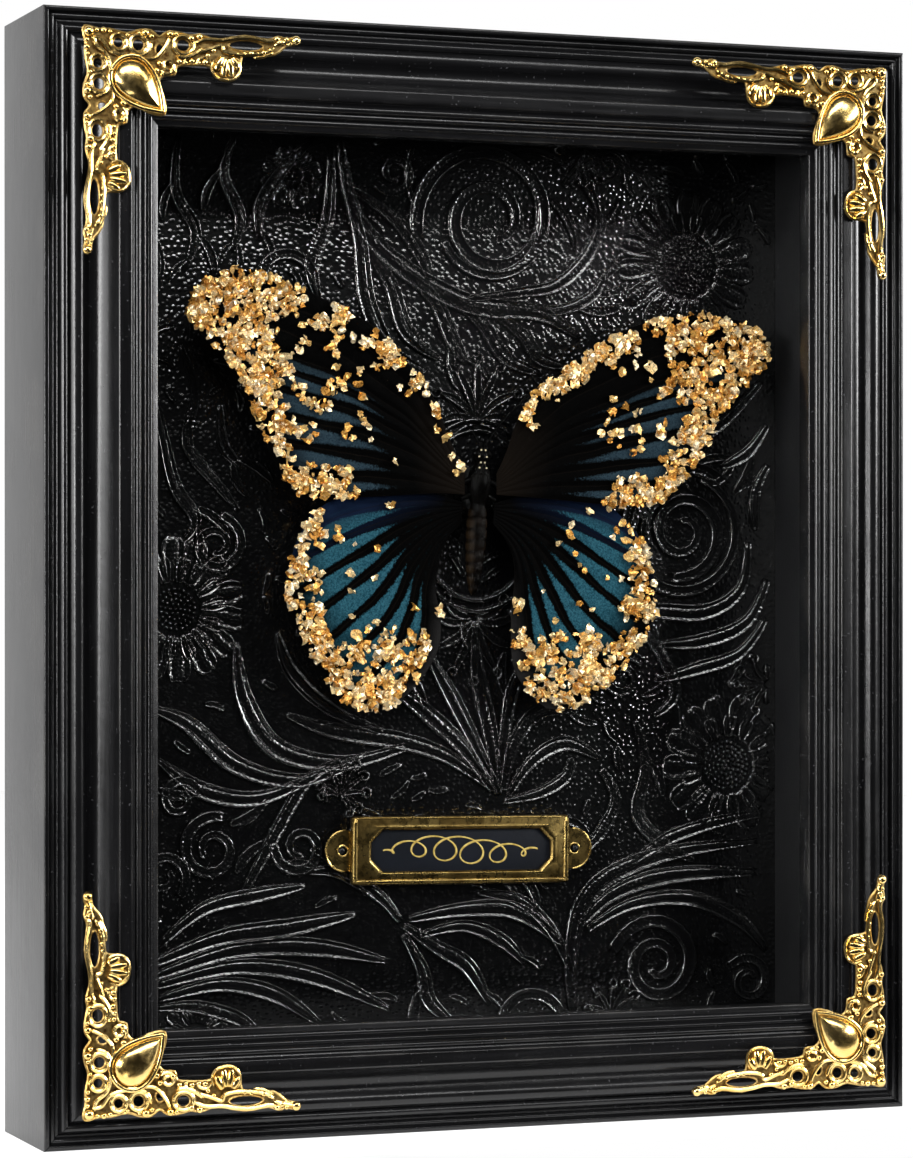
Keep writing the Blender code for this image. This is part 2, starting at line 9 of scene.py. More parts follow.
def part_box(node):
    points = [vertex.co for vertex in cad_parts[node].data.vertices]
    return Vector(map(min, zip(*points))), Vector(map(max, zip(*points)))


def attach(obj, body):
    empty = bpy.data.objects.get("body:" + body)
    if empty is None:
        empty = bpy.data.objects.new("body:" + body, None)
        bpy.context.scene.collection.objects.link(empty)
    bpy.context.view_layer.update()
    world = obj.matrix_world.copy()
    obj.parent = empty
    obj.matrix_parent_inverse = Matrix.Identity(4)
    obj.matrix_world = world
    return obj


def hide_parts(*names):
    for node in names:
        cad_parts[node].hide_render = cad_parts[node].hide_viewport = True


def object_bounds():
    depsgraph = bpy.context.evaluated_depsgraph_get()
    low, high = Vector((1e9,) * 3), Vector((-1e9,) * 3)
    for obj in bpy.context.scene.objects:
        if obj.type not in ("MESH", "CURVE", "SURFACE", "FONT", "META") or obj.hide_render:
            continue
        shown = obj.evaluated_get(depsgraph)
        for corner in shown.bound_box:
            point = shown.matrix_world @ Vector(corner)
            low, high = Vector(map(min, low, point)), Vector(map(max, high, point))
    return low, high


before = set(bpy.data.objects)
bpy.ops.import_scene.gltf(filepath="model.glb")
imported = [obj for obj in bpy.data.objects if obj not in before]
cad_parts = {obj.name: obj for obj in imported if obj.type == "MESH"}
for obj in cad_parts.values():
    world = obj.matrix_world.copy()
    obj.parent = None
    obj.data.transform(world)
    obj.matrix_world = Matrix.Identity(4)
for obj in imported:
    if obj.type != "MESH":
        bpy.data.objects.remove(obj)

mm = 0.001
cadLow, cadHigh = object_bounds()
railLow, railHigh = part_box("rail_top")

# the frame's own measures in millimetres; a depth runs back from the front lip
case = {
    "width": (cadHigh.x - cadLow.x) / mm,
    "height": (cadHigh.z - cadLow.z) / mm,
    "depth": 36.6,
    "crest": 4.9,
}
lipY = railLow.y / mm + case["crest"]
centreZ = case["height"] / 2


def spot(x, depth, z):
    return Vector((x, lipY + depth, z)) * mm


# small helpers for shader trees

def newTree(name):
    made = bpy.data.materials.new(name)
    made.use_nodes = True
    made.node_tree.nodes.clear()
    return made, made.node_tree


def node(tree, kind, settings=None, sockets=None):
    made = tree.nodes.new("ShaderNode" + kind)
    for key, value in (settings or {}).items():
        setattr(made, key, value)
    for key, value in (sockets or {}).items():
        if isinstance(value, bpy.types.NodeSocket):
            tree.links.new(value, made.inputs[key])
        else:
            made.inputs[key].default_value = value
    return made


def objectCoords(tree, scale=(1, 1, 1), turn=(0, 0, 0)):
    where = node(tree, "TexCoord").outputs["Object"]
    return node(tree, "Mapping", None, {0: where, 3: scale, 2: turn}).outputs[0]


def cloud(tree, coords, scale, detail=3.0, rough=0.5, distort=0.0):
    made = node(tree, "TexNoise", None, {"Vector": coords, "Scale": scale, "Detail": detail,
                                         "Roughness": rough, "Distortion": distort})
    return made.outputs["Fac"]


def ramp(tree, value, stops):
    made = node(tree, "ValToRGB", None, {0: value})
    points = made.color_ramp.elements
    while len(points) < len(stops):
        points.new(0.5)
    for point, (place, colour) in zip(points, stops):
        point.position = place
        point.color = (*colour, 1.0)
    return made.outputs[0]


def span(tree, value, low, high, toLow, toHigh):
    return node(tree, "MapRange", None, {0: value, 1: low, 2: high, 3: toLow, 4: toHigh}).outputs[0]


def sums(tree, operation, first, second=0.0, third=0.0):
    made = node(tree, "Math", {"operation": operation}, {0: first, 1: second, 2: third})
    return made.outputs[0]


def blendColour(tree, amount, first, second, mode="MIX"):
    made = node(tree, "Mix", {"data_type": "RGBA", "blend_type": mode}, {0: amount})
    for key, value in ((6, first), (7, second)):
        if isinstance(value, bpy.types.NodeSocket):
            tree.links.new(value, made.inputs[key])
        else:
            made.inputs[key].default_value = (*value, 1.0)
    return made.outputs[2]


def bump(tree, height, strength, distance, under=None):
    sockets = {"Strength": strength, "Distance": distance, "Height": height}
    if under:
        sockets["Normal"] = under
    return node(tree, "Bump", None, sockets).outputs[0]


def surface(tree, sockets):
    shader = node(tree, "BsdfPrincipled", None, sockets)
    node(tree, "OutputMaterial", None, {"Surface": shader.outputs[0]})
    return shader


# small helpers for meshes

def placePiece(name, work, materials, nodes, smoothAngle=40.0):
    mesh = bpy.data.meshes.new(name)
    work.to_mesh(mesh)
    work.free()
    for material in materials:
        mesh.materials.append(material)
    mesh.shade_smooth()
    if smoothAngle < 180:
        mesh.set_sharp_from_angle(angle=math.radians(smoothAngle))
    piece = bpy.data.objects.new(name, mesh)
    bpy.context.scene.collection.objects.link(piece)
    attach(piece, "root")
    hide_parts(*nodes)
    return piece


def join(work, part, matrix=None, materialIndex=0):
    # adds one bmesh to another, moved by a matrix
    mesh = bpy.data.meshes.new("part")
    for face in part.faces:
        face.material_index = materialIndex
    part.to_mesh(mesh)
    part.free()
    if matrix is not None:
        mesh.transform(matrix)
        if matrix.determinant() < 0:
            mesh.flip_normals()
    work.from_mesh(mesh)
    bpy.data.meshes.remove(mesh)


def smoothPath(points, steps, closed=False):
    # a curve through the points, in two or three dimensions
    made = []
    count = len(points)
    last = count if closed else count - 1
    for index in range(last):
        around = []
        for shift in (-1, 0, 1, 2):
            at = index + shift
            at = at % count if closed else min(max(at, 0), count - 1)
            around.append(Vector(points[at]))
        a, b, c, d = around
        for step in range(steps):
            t = step / steps
            made.append(0.5 * (2 * b + (c - a) * t + (2 * a - 5 * b + 4 * c - d) * t * t
                               + (3 * b - a - 3 * c + d) * t ** 3))
    if not closed:
        made.append(Vector(points[-1]))
    return made


def lacquer(name, stretch):
    # satin black paint over wood, its grain drawn out along the rail
    made, tree = newTree(name)
    along = objectCoords(tree, stretch)
    even = objectCoords(tree)
    grain = cloud(tree, along, 900.0, 4.0, 0.6)
    waves = cloud(tree, even, 60.0, 3.0, 0.5)
    dimples = cloud(tree, even, 700.0, 2.0, 0.5)
    dust = cloud(tree, even, 1500.0, 1.0, 0.4)
    rub = node(tree, "Attribute", {"attribute_name": "rub"}).outputs["Fac"]
    worn = sums(tree, "MULTIPLY", rub, span(tree, waves, 0.42, 0.68, 0.0, 0.5))
    paint = ramp(tree, grain, [(0.3, (0.0028, 0.0028, 0.003)), (0.7, (0.0058, 0.0058, 0.0065))])
    paint = blendColour(tree, worn, paint, (0.055, 0.052, 0.048))
    paint = blendColour(tree, span(tree, dust, 0.72, 0.80, 0.0, 0.35), paint, (0.16, 0.16, 0.17))
    rough = sums(tree, "ADD", span(tree, waves, 0.3, 0.7, 0.21, 0.27),
                 span(tree, grain, 0.3, 0.7, -0.03, 0.04))
    relief = bump(tree, dimples, 0.06, 0.0003)
    relief = bump(tree, grain, 0.09, 0.0002, relief)
    relief = bump(tree, waves, 0.06, 0.002, relief)
    surface(tree, {"Base Color": paint, "Roughness": rough, "Normal": relief,
                   "Specular IOR Level": 0.45})
    return made


moulding = {
    # runs of the section, each smooth in itself: (in from the outer edge, height above the lip)
    "runs": [
        [(0.0, -0.6), (0.15, -0.12), (0.6, 0.0), (1.05, -0.03), (1.2, -0.25)],
        [(1.2, -0.25), (1.3, -1.05), (1.5, -1.3)],
        [(1.5, -1.3), (1.75, -1.0), (2.1, -0.88), (2.45, -1.0), (2.7, -1.4), (3.0, -1.9)],
        [(3.0, -1.9), (3.5, -1.7), (3.75, -1.3)],
        [(3.75, -1.3), (4.0, -0.6), (4.5, -0.1), (5.0, 0.0), (5.5, -0.2), (5.85, -0.7), (6.0, -1.0)],
        [(6.0, -1.0), (6.3, -0.45), (7.0, 0.22), (8.0, 0.5), (9.0, 0.25), (10.0, -0.55),
         (11.0, -1.1), (12.0, -1.15), (13.2, -0.6), (14.3, 0.5), (15.2, 1.9), (16.0, 3.7),
         (16.3, 4.5)],
        [(16.3, 4.5), (16.5, 4.68), (17.0, 4.76), (18.4, 4.86), (19.1, 4.88), (19.4, 4.7)],
        [(19.4, 4.7), (19.7, 3.9), (20.3, 3.6)],
        [(20.3, 3.6), (20.6, 3.95), (21.1, 4.12), (21.6, 3.9), (22.0, 3.3), (22.1, 2.9)],
        [(22.1, 2.9), (22.35, 3.05), (22.8, 3.12), (23.2, 2.8), (23.5, 2.1), (23.6, 1.9)],
        [(23.6, 1.9), (23.9, 2.15), (24.4, 2.3), (24.9, 2.05), (25.2, 1.55)],
        [(25.2, 1.55), (25.9, 1.35), (26.35, 1.2), (26.5, 1.0)],
    ],
    "steps": 3,
    "back": [(26.5, -4.0), (20.7, -4.0), (20.7, -36.4), (20.5, -36.6), (0.4, -36.6), (0.0, -36.2)],
    "joint": 0.12,
    # the arrises where the paint is rubbed, and how far the rubbing reaches
    "arrises": (0.1, 16.4, 19.3, 21.1, 26.4),
    "rubReach": 0.35,
}


def mouldingRail(name, length, halfSpan, turn, material):
    section = []
    for run in moulding["runs"]:
        for point in smoothPath(run, moulding["steps"])[:-1]:
            section.append(tuple(point))
    section.append(moulding["runs"][-1][-1])
    section += moulding["back"]
    work = bmesh.new()
    rub = work.verts.layers.float.new("rub")
    ring = []
    for u, z in section:
        vert = work.verts.new((u * mm, z * mm, -length / 2 * mm))
        arris = min(abs(u - edge) for edge in moulding["arrises"])
        vert[rub] = max(0.0, 1.0 - arris / moulding["rubReach"]) if z > -2 else 0.0
        ring.append(vert)
    end = work.faces.new(ring)
    pulled = bmesh.ops.extrude_face_region(work, geom=[end])["geom"]
    moved = [thing for thing in pulled if isinstance(thing, bmesh.types.BMVert)]
    bmesh.ops.translate(work, verts=moved, vec=(0, 0, length * mm))
    for side in (-1, 1):
        mitre = Vector((1, 0, side)).normalized()
        corner = Vector((0, 0, side * length / 2 * mm)) - mitre * moulding["joint"] / 2 * mm
        whole = work.verts[:] + work.edges[:] + work.faces[:]
        bmesh.ops.bisect_plane(work, geom=whole, dist=1e-7, plane_co=corner, plane_no=mitre,
                               clear_outer=True)
        rim = [edge for edge in work.edges if edge.is_boundary]
        bmesh.ops.holes_fill(work, edges=rim, sides=0)
    lie = Matrix(((0, 0, 1, 0), (0, -1, 0, 0), (1, 0, 0, 0), (0, 0, 0, 1)))
    place = (Matrix.Translation(spot(0, 0, centreZ)) @ Matrix.Rotation(turn, 4, "Y")
             @ Matrix.Translation((0, 0, -halfSpan * mm)) @ lie)
    bmesh.ops.transform(work, matrix=place, verts=work.verts)
    bmesh.ops.recalc_face_normals(work, faces=work.faces)
    return placePiece("moulding_" + name, work, [material], ["rail_" + name], 30)


def frameRails():
    acrossPaint = lacquer("lacquer_across", (0.03, 1, 1))
    uprightPaint = lacquer("lacquer_upright", (1, 1, 0.03))
    halfWidth = case["width"] / 2
    halfHeight = case["height"] / 2
    mouldingRail("bottom", case["width"], halfHeight, 0.0, acrossPaint)
    mouldingRail("left", case["height"], halfWidth, math.pi / 2, uprightPaint)
    mouldingRail("top", case["width"], halfHeight, math.pi, acrossPaint)
    mouldingRail("right", case["height"], halfWidth, -math.pi / 2, uprightPaint)
    print("moulding done")


# plain black finishes: card, board, foam and painted steel

def mattBlack(name, low, high, rough, grainScale, relief):
    made, tree = newTree(name)
    even = objectCoords(tree)
    grain = cloud(tree, even, grainScale, 4.0, 0.6)
    patches = cloud(tree, even, 45.0, 2.0, 0.5)
    colour = ramp(tree, grain, [(0.3, low), (0.7, high)])
    roughness = span(tree, patches, 0.3, 0.7, rough - 0.06, rough + 0.06)
    surface(tree, {"Base Color": colour, "Roughness": roughness,
                   "Normal": bump(tree, grain, relief, 0.0003)})
    return made


def fibreBoard(name):
    # dark hardboard: felted fibres with a few longer strands
    made, tree = newTree(name)
    even = objectCoords(tree)
    fibres = cloud(tree, objectCoords(tree, (1, 1, 0.25), (0, 0.5, 0)), 900.0, 5.0, 0.7, 1.5)
    strands = cloud(tree, objectCoords(tree, (0.2, 1, 1), (0, 0.3, 0)), 700.0, 4.0, 0.7, 1.0)
    stains = cloud(tree, even, 25.0, 3.0, 0.5)
    colour = ramp(tree, fibres, [(0.3, (0.014, 0.012, 0.010)), (0.75, (0.040, 0.034, 0.028))])
    colour = blendColour(tree, span(tree, strands, 0.62, 0.8, 0.0, 0.5), colour,
                         (0.075, 0.062, 0.050))
    colour = blendColour(tree, span(tree, stains, 0.4, 0.7, 0.0, 0.5), colour, (0.012, 0.011, 0.010))
    surface(tree, {"Base Color": colour, "Roughness": span(tree, stains, 0.3, 0.7, 0.68, 0.82),
                   "Normal": bump(tree, fibres, 0.5, 0.0003)})
    return made


def platedSteel(name, colour, rough):
    made, tree = newTree(name)
    brushed = cloud(tree, objectCoords(tree, (0.05, 1, 1)), 2600.0, 3.0, 0.6)
    bloom = cloud(tree, objectCoords(tree), 260.0, 3.0, 0.6)
    dark = tuple(value * 0.55 for value in colour)
    tone = blendColour(tree, span(tree, bloom, 0.35, 0.7, 0.0, 1.0), colour, dark)
    surface(tree, {"Base Color": tone, "Metallic": 0.9,
                   "Roughness": span(tree, bloom, 0.3, 0.7, rough - 0.08, rough + 0.14),
                   "Normal": bump(tree, brushed, 0.12, 0.0001)})
    return made


def roundedBox(name, nodeName, material, edge, grow=(0, 0, 0, 0, 0, 0)):
    # a bevelled block in the place of a node's box, moved out by grow: low x, y, z, high x, y, z
    low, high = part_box(nodeName)
    low = Vector((low.x - grow[0] * mm, low.y - grow[1] * mm, low.z - grow[2] * mm))
    high = Vector((high.x + grow[3] * mm, high.y + grow[4] * mm, high.z + grow[5] * mm))
    size = high - low
    work = bmesh.new()
    bmesh.ops.create_cube(work, size=1.0, matrix=Matrix.Translation((low + high) / 2)
                          @ Matrix.Diagonal((*size, 1.0)))
    bmesh.ops.bevel(work, geom=work.edges[:], offset=edge * mm, offset_type="OFFSET", segments=3,
                    profile=0.5, affect="EDGES", material=-1)
    return placePiece(name, work, [material], [nodeName], 40)


def caseLayers():
    card = mattBlack("black_paper", (0.004, 0.004, 0.0045), (0.010, 0.010, 0.011), 0.48, 1800, 0.25)
    board = mattBlack("black_board", (0.010, 0.010, 0.010), (0.022, 0.022, 0.022), 0.8, 1500, 0.3)
    for side in ("left", "right", "top", "bottom"):
        roundedBox("lining_" + side, "spacer_" + side, card, 0.12,
                   (0, 0.2, 0, 0, 1.6, 0))
    roundedBox("mount_card", "mount_board", board, 0.2)
    roundedBox("hardboard_back", "backing_board", fibreBoard("hardboard"), 0.3)
    print("lining and boards done")


def pane():
    made, tree = newTree("picture_glass")
    clear = node(tree, "BsdfTransparent", None, {"Color": (0.985, 0.99, 0.987, 1)}).outputs[0]
    smears = cloud(tree, objectCoords(tree), 18.0, 3.0, 0.55)
    gloss = node(tree, "BsdfGlossy", None, {"Color": (1, 1, 1, 1),
                                            "Roughness": span(tree, smears, 0.3, 0.7, 0.01, 0.04)})
    facing = node(tree, "LayerWeight", None, {"Blend": 0.5}).outputs["Facing"]
    share = sums(tree, "MULTIPLY_ADD", sums(tree, "POWER", facing, 4.0), 0.20, 0.0025)
    both = node(tree, "MixShader", None, {0: share, 1: clear, 2: gloss.outputs[0]})
    node(tree, "OutputMaterial", None, {"Surface": both.outputs[0]})
    roundedBox("glass", "glass_pane", made, 0.15)
    print("glass done")


fittings = {
    # shares of a glazier's point's own size: how much its corners are cut and how far it bows
    "pointCorner": 0.22,
    "pointBow": 0.35,
    "hangerEdge": 0.18,
    # the nail head's radius and its rise
    "nailHead": (1.75, 0.8),
}


def glazingPoint(name, steel):
    # a flat tab with cut corners at its free end and a shallow bow along its length
    low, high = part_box(name)
    size = high - low
    work = bmesh.new()
    bmesh.ops.create_cube(work, size=1.0)
    lengthwise = [edge for edge in work.edges if abs((edge.verts[0].co - edge.verts[1].co).x) > 0.5]
    bmesh.ops.subdivide_edges(work, edges=lengthwise, cuts=8, use_grid_fill=True)
    tip = [edge for edge in work.edges if min(vert.co.x for vert in edge.verts) > 0.49
           and abs((edge.verts[0].co - edge.verts[1].co).y) > 0.5]
    bmesh.ops.bevel(work, geom=tip, offset=fittings["pointCorner"], offset_type="OFFSET", segments=4,
                    profile=0.5, affect="EDGES", material=-1)
    length = max(size.x, size.z)
    width = min(size.x, size.z)
    for vert in work.verts:
        bow = fittings["pointBow"] * math.sin(math.pi * (vert.co.x + 0.5))
        vert.co = Vector((vert.co.x * length, (vert.co.y * 0.8 + bow) * size.y, vert.co.z * width))
    if size.z > size.x:
        towards = -90 if "bottom" in name else 90
    else:
        towards = 0 if "left" in name else 180
    place = Matrix.Translation((low + high) / 2) @ Matrix.Rotation(math.radians(towards), 4, "Y")
    bmesh.ops.transform(work, matrix=place, verts=work.verts)
    bmesh.ops.recalc_face_normals(work, faces=work.faces)
    placePiece(name.replace("point", "glazing_point"), work, [steel], [name], 35)


def hangerPlate(zinc):
    # the hanger's own outline with its edges eased
    work = bmesh.new()
    work.from_mesh(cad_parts["sawtooth_hanger"].data)
    bmesh.ops.remove_doubles(work, verts=work.verts, dist=1e-6)
    bmesh.ops.dissolve_limit(work, angle_limit=0.02, verts=work.verts, edges=work.edges)
    rims = [edge for edge in work.edges if len(edge.link_faces) == 2 and edge.calc_face_angle(0) > 1.0]
    bmesh.ops.bevel(work, geom=rims, offset=fittings["hangerEdge"] * mm, offset_type="OFFSET",
                    segments=2, profile=0.5, affect="EDGES", material=-1, clamp_overlap=True)
    for face in work.faces:
        face.material_index = 0
    placePiece("hanger_plate", work, [zinc], ["sawtooth_hanger"], 40)


def hangerNail(side, zinc):
    low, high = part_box("hanger_nail_" + side)
    middle = (low + high) / 2
    radius, rise = (value * mm for value in fittings["nailHead"])
    work = bmesh.new()
    bmesh.ops.create_uvsphere(work, u_segments=20, v_segments=10, radius=1.0)
    flat = (Matrix.Translation((middle.x, low.y + rise / 2, middle.z))
            @ Matrix.Diagonal((radius, rise, radius, 1.0)))
    bmesh.ops.transform(work, matrix=flat, verts=work.verts)
    placePiece("nail_" + side, work, [zinc], ["hanger_nail_" + side], 60)


def backFittings():
    black = platedSteel("blackened_steel", (0.050, 0.050, 0.053), 0.42)
    zinc = platedSteel("zinc_plate", (0.60, 0.60, 0.585), 0.34)
    for name in sorted(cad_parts):
        if name.startswith("point_"):
            glazingPoint(name, black)
    hangerPlate(zinc)
    for side in ("left", "right"):
        hangerNail(side, zinc)
    print("back fittings done")


# bars, petals and cut sheets, made flat in millimetres and laid in place afterwards

def swell(t, stops):
    for (low, first), (high, second) in zip(stops, stops[1:]):
        if t <= high:
            return first + (second - first) * (t - low) / max(high - low, 1e-6)
    return stops[-1][1]


pointedBar = ((0, 0.3), (0.06, 0.9), (0.5, 1), (0.94, 0.9), (1, 0.3))
evenBar = ((0, 1), (1, 1))


def bar(points, radius, steps=4, sides=7, stops=pointedBar, squash=1.0):
    # a round bar along a curve through the points (x, y, height)
    path = [point.to_3d() for point in smoothPath(points, steps)]
    work = bmesh.new()
    bmesh.ops.create_circle(work, cap_ends=True, segments=sides, radius=1.0)
    face = work.faces[:][0]
    before = Matrix.Identity(4)
    for index, point in enumerate(path):
        ahead = (path[min(index + 1, len(path) - 1)] - path[max(index - 1, 0)]).normalized()
        side = Vector((-ahead.y, ahead.x, 0)).normalized()
        if ahead.xy.length <= 1e-4:
            side = Vector((1, 0, 0))
        up = ahead.cross(side)
        r = radius * swell(index / (len(path) - 1), stops)
        after = Matrix((side * r, up * r * squash, ahead)).transposed().to_4x4()
        after.translation = point
        if index:
            pulled = bmesh.ops.extrude_face_region(work, geom=[face])["geom"]
            face = [thing for thing in pulled if isinstance(thing, bmesh.types.BMFace)][0]
        bmesh.ops.transform(work, matrix=after @ before.inverted(), verts=face.verts)
        before = after
    bmesh.ops.recalc_face_normals(work, faces=work.faces)
    return work


def bead(x, y, height, radius, flat=0.8, finer=2):
    work = bmesh.new()
    bmesh.ops.create_icosphere(work, subdivisions=finer, radius=radius)
    bmesh.ops.transform(work, matrix=Matrix.Translation((x, y, height))
                        @ Matrix.Diagonal((1, 1, flat, 1)), verts=work.verts)
    return work


def petal(path, widths, height, ridges, base=0.0, bow=0.0):
    # a closed domed strip; ridges give (across, height) pairs from one edge to the other
    count = len(path)
    work = bmesh.new()
    along = work.loops.layers.uv.new("UVMap")
    bmesh.ops.create_grid(work, x_segments=count - 1, y_segments=len(ridges) - 1, size=1.0)
    reach = [0.0]
    for first, second in zip(path, path[1:]):
        reach.append(reach[-1] + (second - first).length)
    for vert in work.verts:
        index = min(max(round((vert.co.x + 1) / 2 * (count - 1)), 0), count - 1)
        row = min(max(round((vert.co.y + 1) / 2 * (len(ridges) - 1)), 0), len(ridges) - 1)
        across, rise = ridges[row]
        ahead = path[min(index + 1, count - 1)] - path[max(index - 1, 0)]
        side = Vector((-ahead.y, ahead.x)).normalized()
        offset = across * widths[index]
        for loop in vert.link_loops:
            loop[along].uv = (reach[index] * 0.1, offset * 0.1)
        fullness = min(1.0, widths[index] / (0.45 * max(widths))) ** 0.5
        at = path[index].to_2d() + side * offset
        arch = bow * math.sin(math.pi * index / (count - 1))
        buried = rise < 0 or index in (0, count - 1)
        vert.co = Vector((at.x, at.y, base + ridges[0][1] if buried
                          else base + (rise * height + arch) * fullness))
    bmesh.ops.remove_doubles(work, verts=work.verts, dist=0.004)
    bmesh.ops.holes_fill(work, edges=[edge for edge in work.edges if edge.is_boundary], sides=0)
    bmesh.ops.recalc_face_normals(work, faces=work.faces)
    return work


def cutSheet(loops, low, high):
    # a flat plate: the first outline is its edge, the others its holes
    work = bmesh.new()
    edges = []
    for loop in loops:
        verts = [work.verts.new((point[0], point[1], low)) for point in loop]
        edges += [work.edges.new((verts[index - 1], verts[index])) for index in range(len(verts))]
    bmesh.ops.triangle_fill(work, use_beauty=True, edges=edges)
    pulled = bmesh.ops.extrude_face_region(work, geom=work.faces[:])["geom"]
    moved = [thing for thing in pulled if isinstance(thing, bmesh.types.BMVert)]
    bmesh.ops.translate(work, verts=moved, vec=(0, 0, high - low))
    bmesh.ops.recalc_face_normals(work, faces=work.faces)
    return work


def standUp(depth, x=0.0, z=0.0):
    # stands a drawing (x, z, height) up at a depth, its heights rising towards the viewer
    place = Matrix(((mm, 0, 0, 0), (0, 0, -mm, 0), (0, mm, 0, 0), (0, 0, 0, 1)))
    place.translation = spot(x, depth, z)
    return place


def oval(x, y, halfX, halfY, count=20, start=0.0, end=2 * math.pi):
    closed = abs(end - start - 2 * math.pi) < 1e-6
    parts = count if closed else count - 1
    return [(x + halfX * math.cos(start + (end - start) * index / parts),
             y + halfY * math.sin(start + (end - start) * index / parts)) for index in range(count)]


def spiral(x, y, outer, inner, start, turns, count):
    made = []
    for index in range(count):
        t = index / (count - 1)
        angle = start + turns * 2 * math.pi * t
        r = outer + (inner - outer) * t ** 0.8
        made.append(Vector((x + r * math.cos(angle), y + r * math.sin(angle))))
    return made


# pierced corner ornaments: (along the arm, in from the edge), the other arm its mirror image

ornament = {
    "places": {"top_left": (-1, 1, 7.2, 5.0), "top_right": (1, 1, 8.0, 4.8),
               "bottom_left": (-1, -1, 7.2, 7.4), "bottom_right": (1, -1, 8.0, 6.0)},
    "base": 5.2,
    "sheet": 0.75,
    "wire": 0.36,
    "arm": [
        (0.5, 0.5), (1.6, 0.3), (4.0, 0.9), (6.6, 0.8), (10.6, 1.5), (13.6, 0.6), (16.2, 0.6),
        (18.2, 1.9), (20.2, 0.7), (23.0, 0.8), (25.6, 1.3), (28.0, 1.0), (32.0, 1.9), (38.6, 0.7),
        (44.0, 1.3), (46.6, 0.5), (48.6, 0.9), (50.6, 0.5), (51.6, 1.1), (51.0, 1.9), (48.6, 2.4),
        (45.6, 4.6), (41.0, 5.0), (37.8, 5.5), (37.1, 9.4), (34.6, 11.0), (31.7, 10.1),
        (30.2, 8.0), (25.6, 7.9), (22.4, 8.4), (21.7, 10.3), (19.2, 10.6), (17.9, 12.4),
        (19.2, 16.0), (19.4, 19.4),
    ],
    "holes": [(8.5, 3.7, 1.3, 1.3), (13.2, 4.0, 1.5, 1.5), (18.3, 4.8, 1.1, 1.3),
              (23.8, 3.6, 1.7, 1.5), (38.8, 2.9, 4.2, 1.3)],
    # along, in, radius
    "beads": [
        (1.5, 1.5, 1.25), (3.4, 1.1, 0.6), (5.0, 1.1, 0.75), (6.5, 1.3, 0.55), (10.6, 1.9, 0.5),
        (14.8, 1.2, 0.95), (16.3, 1.9, 0.65), (13.4, 1.3, 0.55), (20.6, 1.2, 0.9), (22.1, 1.1, 0.6),
        (25.6, 1.9, 0.8), (27.6, 1.4, 0.8), (21.2, 9.3, 0.75), (18.2, 7.9, 0.7), (17.4, 9.6, 0.75),
        (18.8, 10.4, 0.55), (22.8, 7.3, 0.65), (24.3, 7.5, 0.6), (25.8, 7.1, 0.7), (27.4, 7.4, 0.65),
        (28.9, 7.2, 0.75), (36.8, 5.0, 0.6), (38.4, 4.8, 0.6), (40.0, 4.6, 0.65), (41.6, 4.7, 0.6),
        (43.0, 4.3, 0.7), (44.5, 3.7, 0.6), (46.2, 1.0, 0.7), (47.4, 1.7, 0.7), (48.5, 1.0, 0.6),
        (49.5, 1.9, 0.5), (50.8, 1.2, 1.15), (8.5, 1.7, 0.5), (29.6, 5.6, 0.6), (31.0, 4.4, 0.6),
    ],
    # radius, points along the bar
    "bars": [
        (0.55, [(2.2, 2.9), (4.4, 3.2), (6.4, 5.6), (9.6, 6.6), (12.6, 6.8), (15.2, 5.6), (16.2, 3.2)]),
        (0.5, [(14.0, 7.2), (17.0, 6.9), (19.4, 4.4), (20.6, 1.9)]),
        (0.6, [(26.2, 3.2), (29.0, 2.1), (33.0, 2.0), (36.0, 1.4), (40.0, 1.1), (44.0, 1.7), (46.0, 1.4)]),
        (0.55, [(26.6, 5.2), (30.0, 4.2), (32.8, 3.2), (33.6, 4.5), (36.5, 5.1), (40.0, 4.9), (43.5, 4.3),
                (45.5, 3.0)]),
        (0.5, [(45.5, 2.5), (48.0, 1.8), (50.2, 1.3)]),
        (0.6, [(22.0, 6.2), (24.0, 6.4), (26.4, 5.6), (28.6, 4.0)]),
        (0.45, [(30.4, 7.4), (29.2, 6.2), (27.6, 6.6), (26.8, 7.9)]),
        (0.45, [(23.8, 8.0), (24.4, 6.6), (25.8, 6.0)]),
        (0.5, [(17.0, 12.6), (18.6, 14.8), (19.0, 18.6)]),
        (0.5, [(15.8, 8.2), (16.8, 10.6), (17.6, 12.6)]),
        (0.4, [(40.6, 5.6), (42.8, 5.3), (45.4, 4.1)]),
        (0.4, [(46.2, 2.8), (47.0, 1.2), (48.6, 2.4), (49.2, 1.0)]),
    ],
    "rings": [(8.5, 3.7, 1.85, 1.85), (13.2, 4.0, 2.1, 2.1), (23.8, 3.6, 2.4, 2.1)],
    # a fluted shell: each lobe's root and tip
    "shell": [((33.0, 5.8), (31.4, 9.0)), ((33.8, 6.2), (33.2, 10.4)), ((34.6, 6.2), (35.2, 10.4)),
              ((35.4, 5.8), (36.9, 8.6))],
    "boss": {"centre": 13.5, "length": 15.4, "width": 10.2, "rise": 2.35},
}


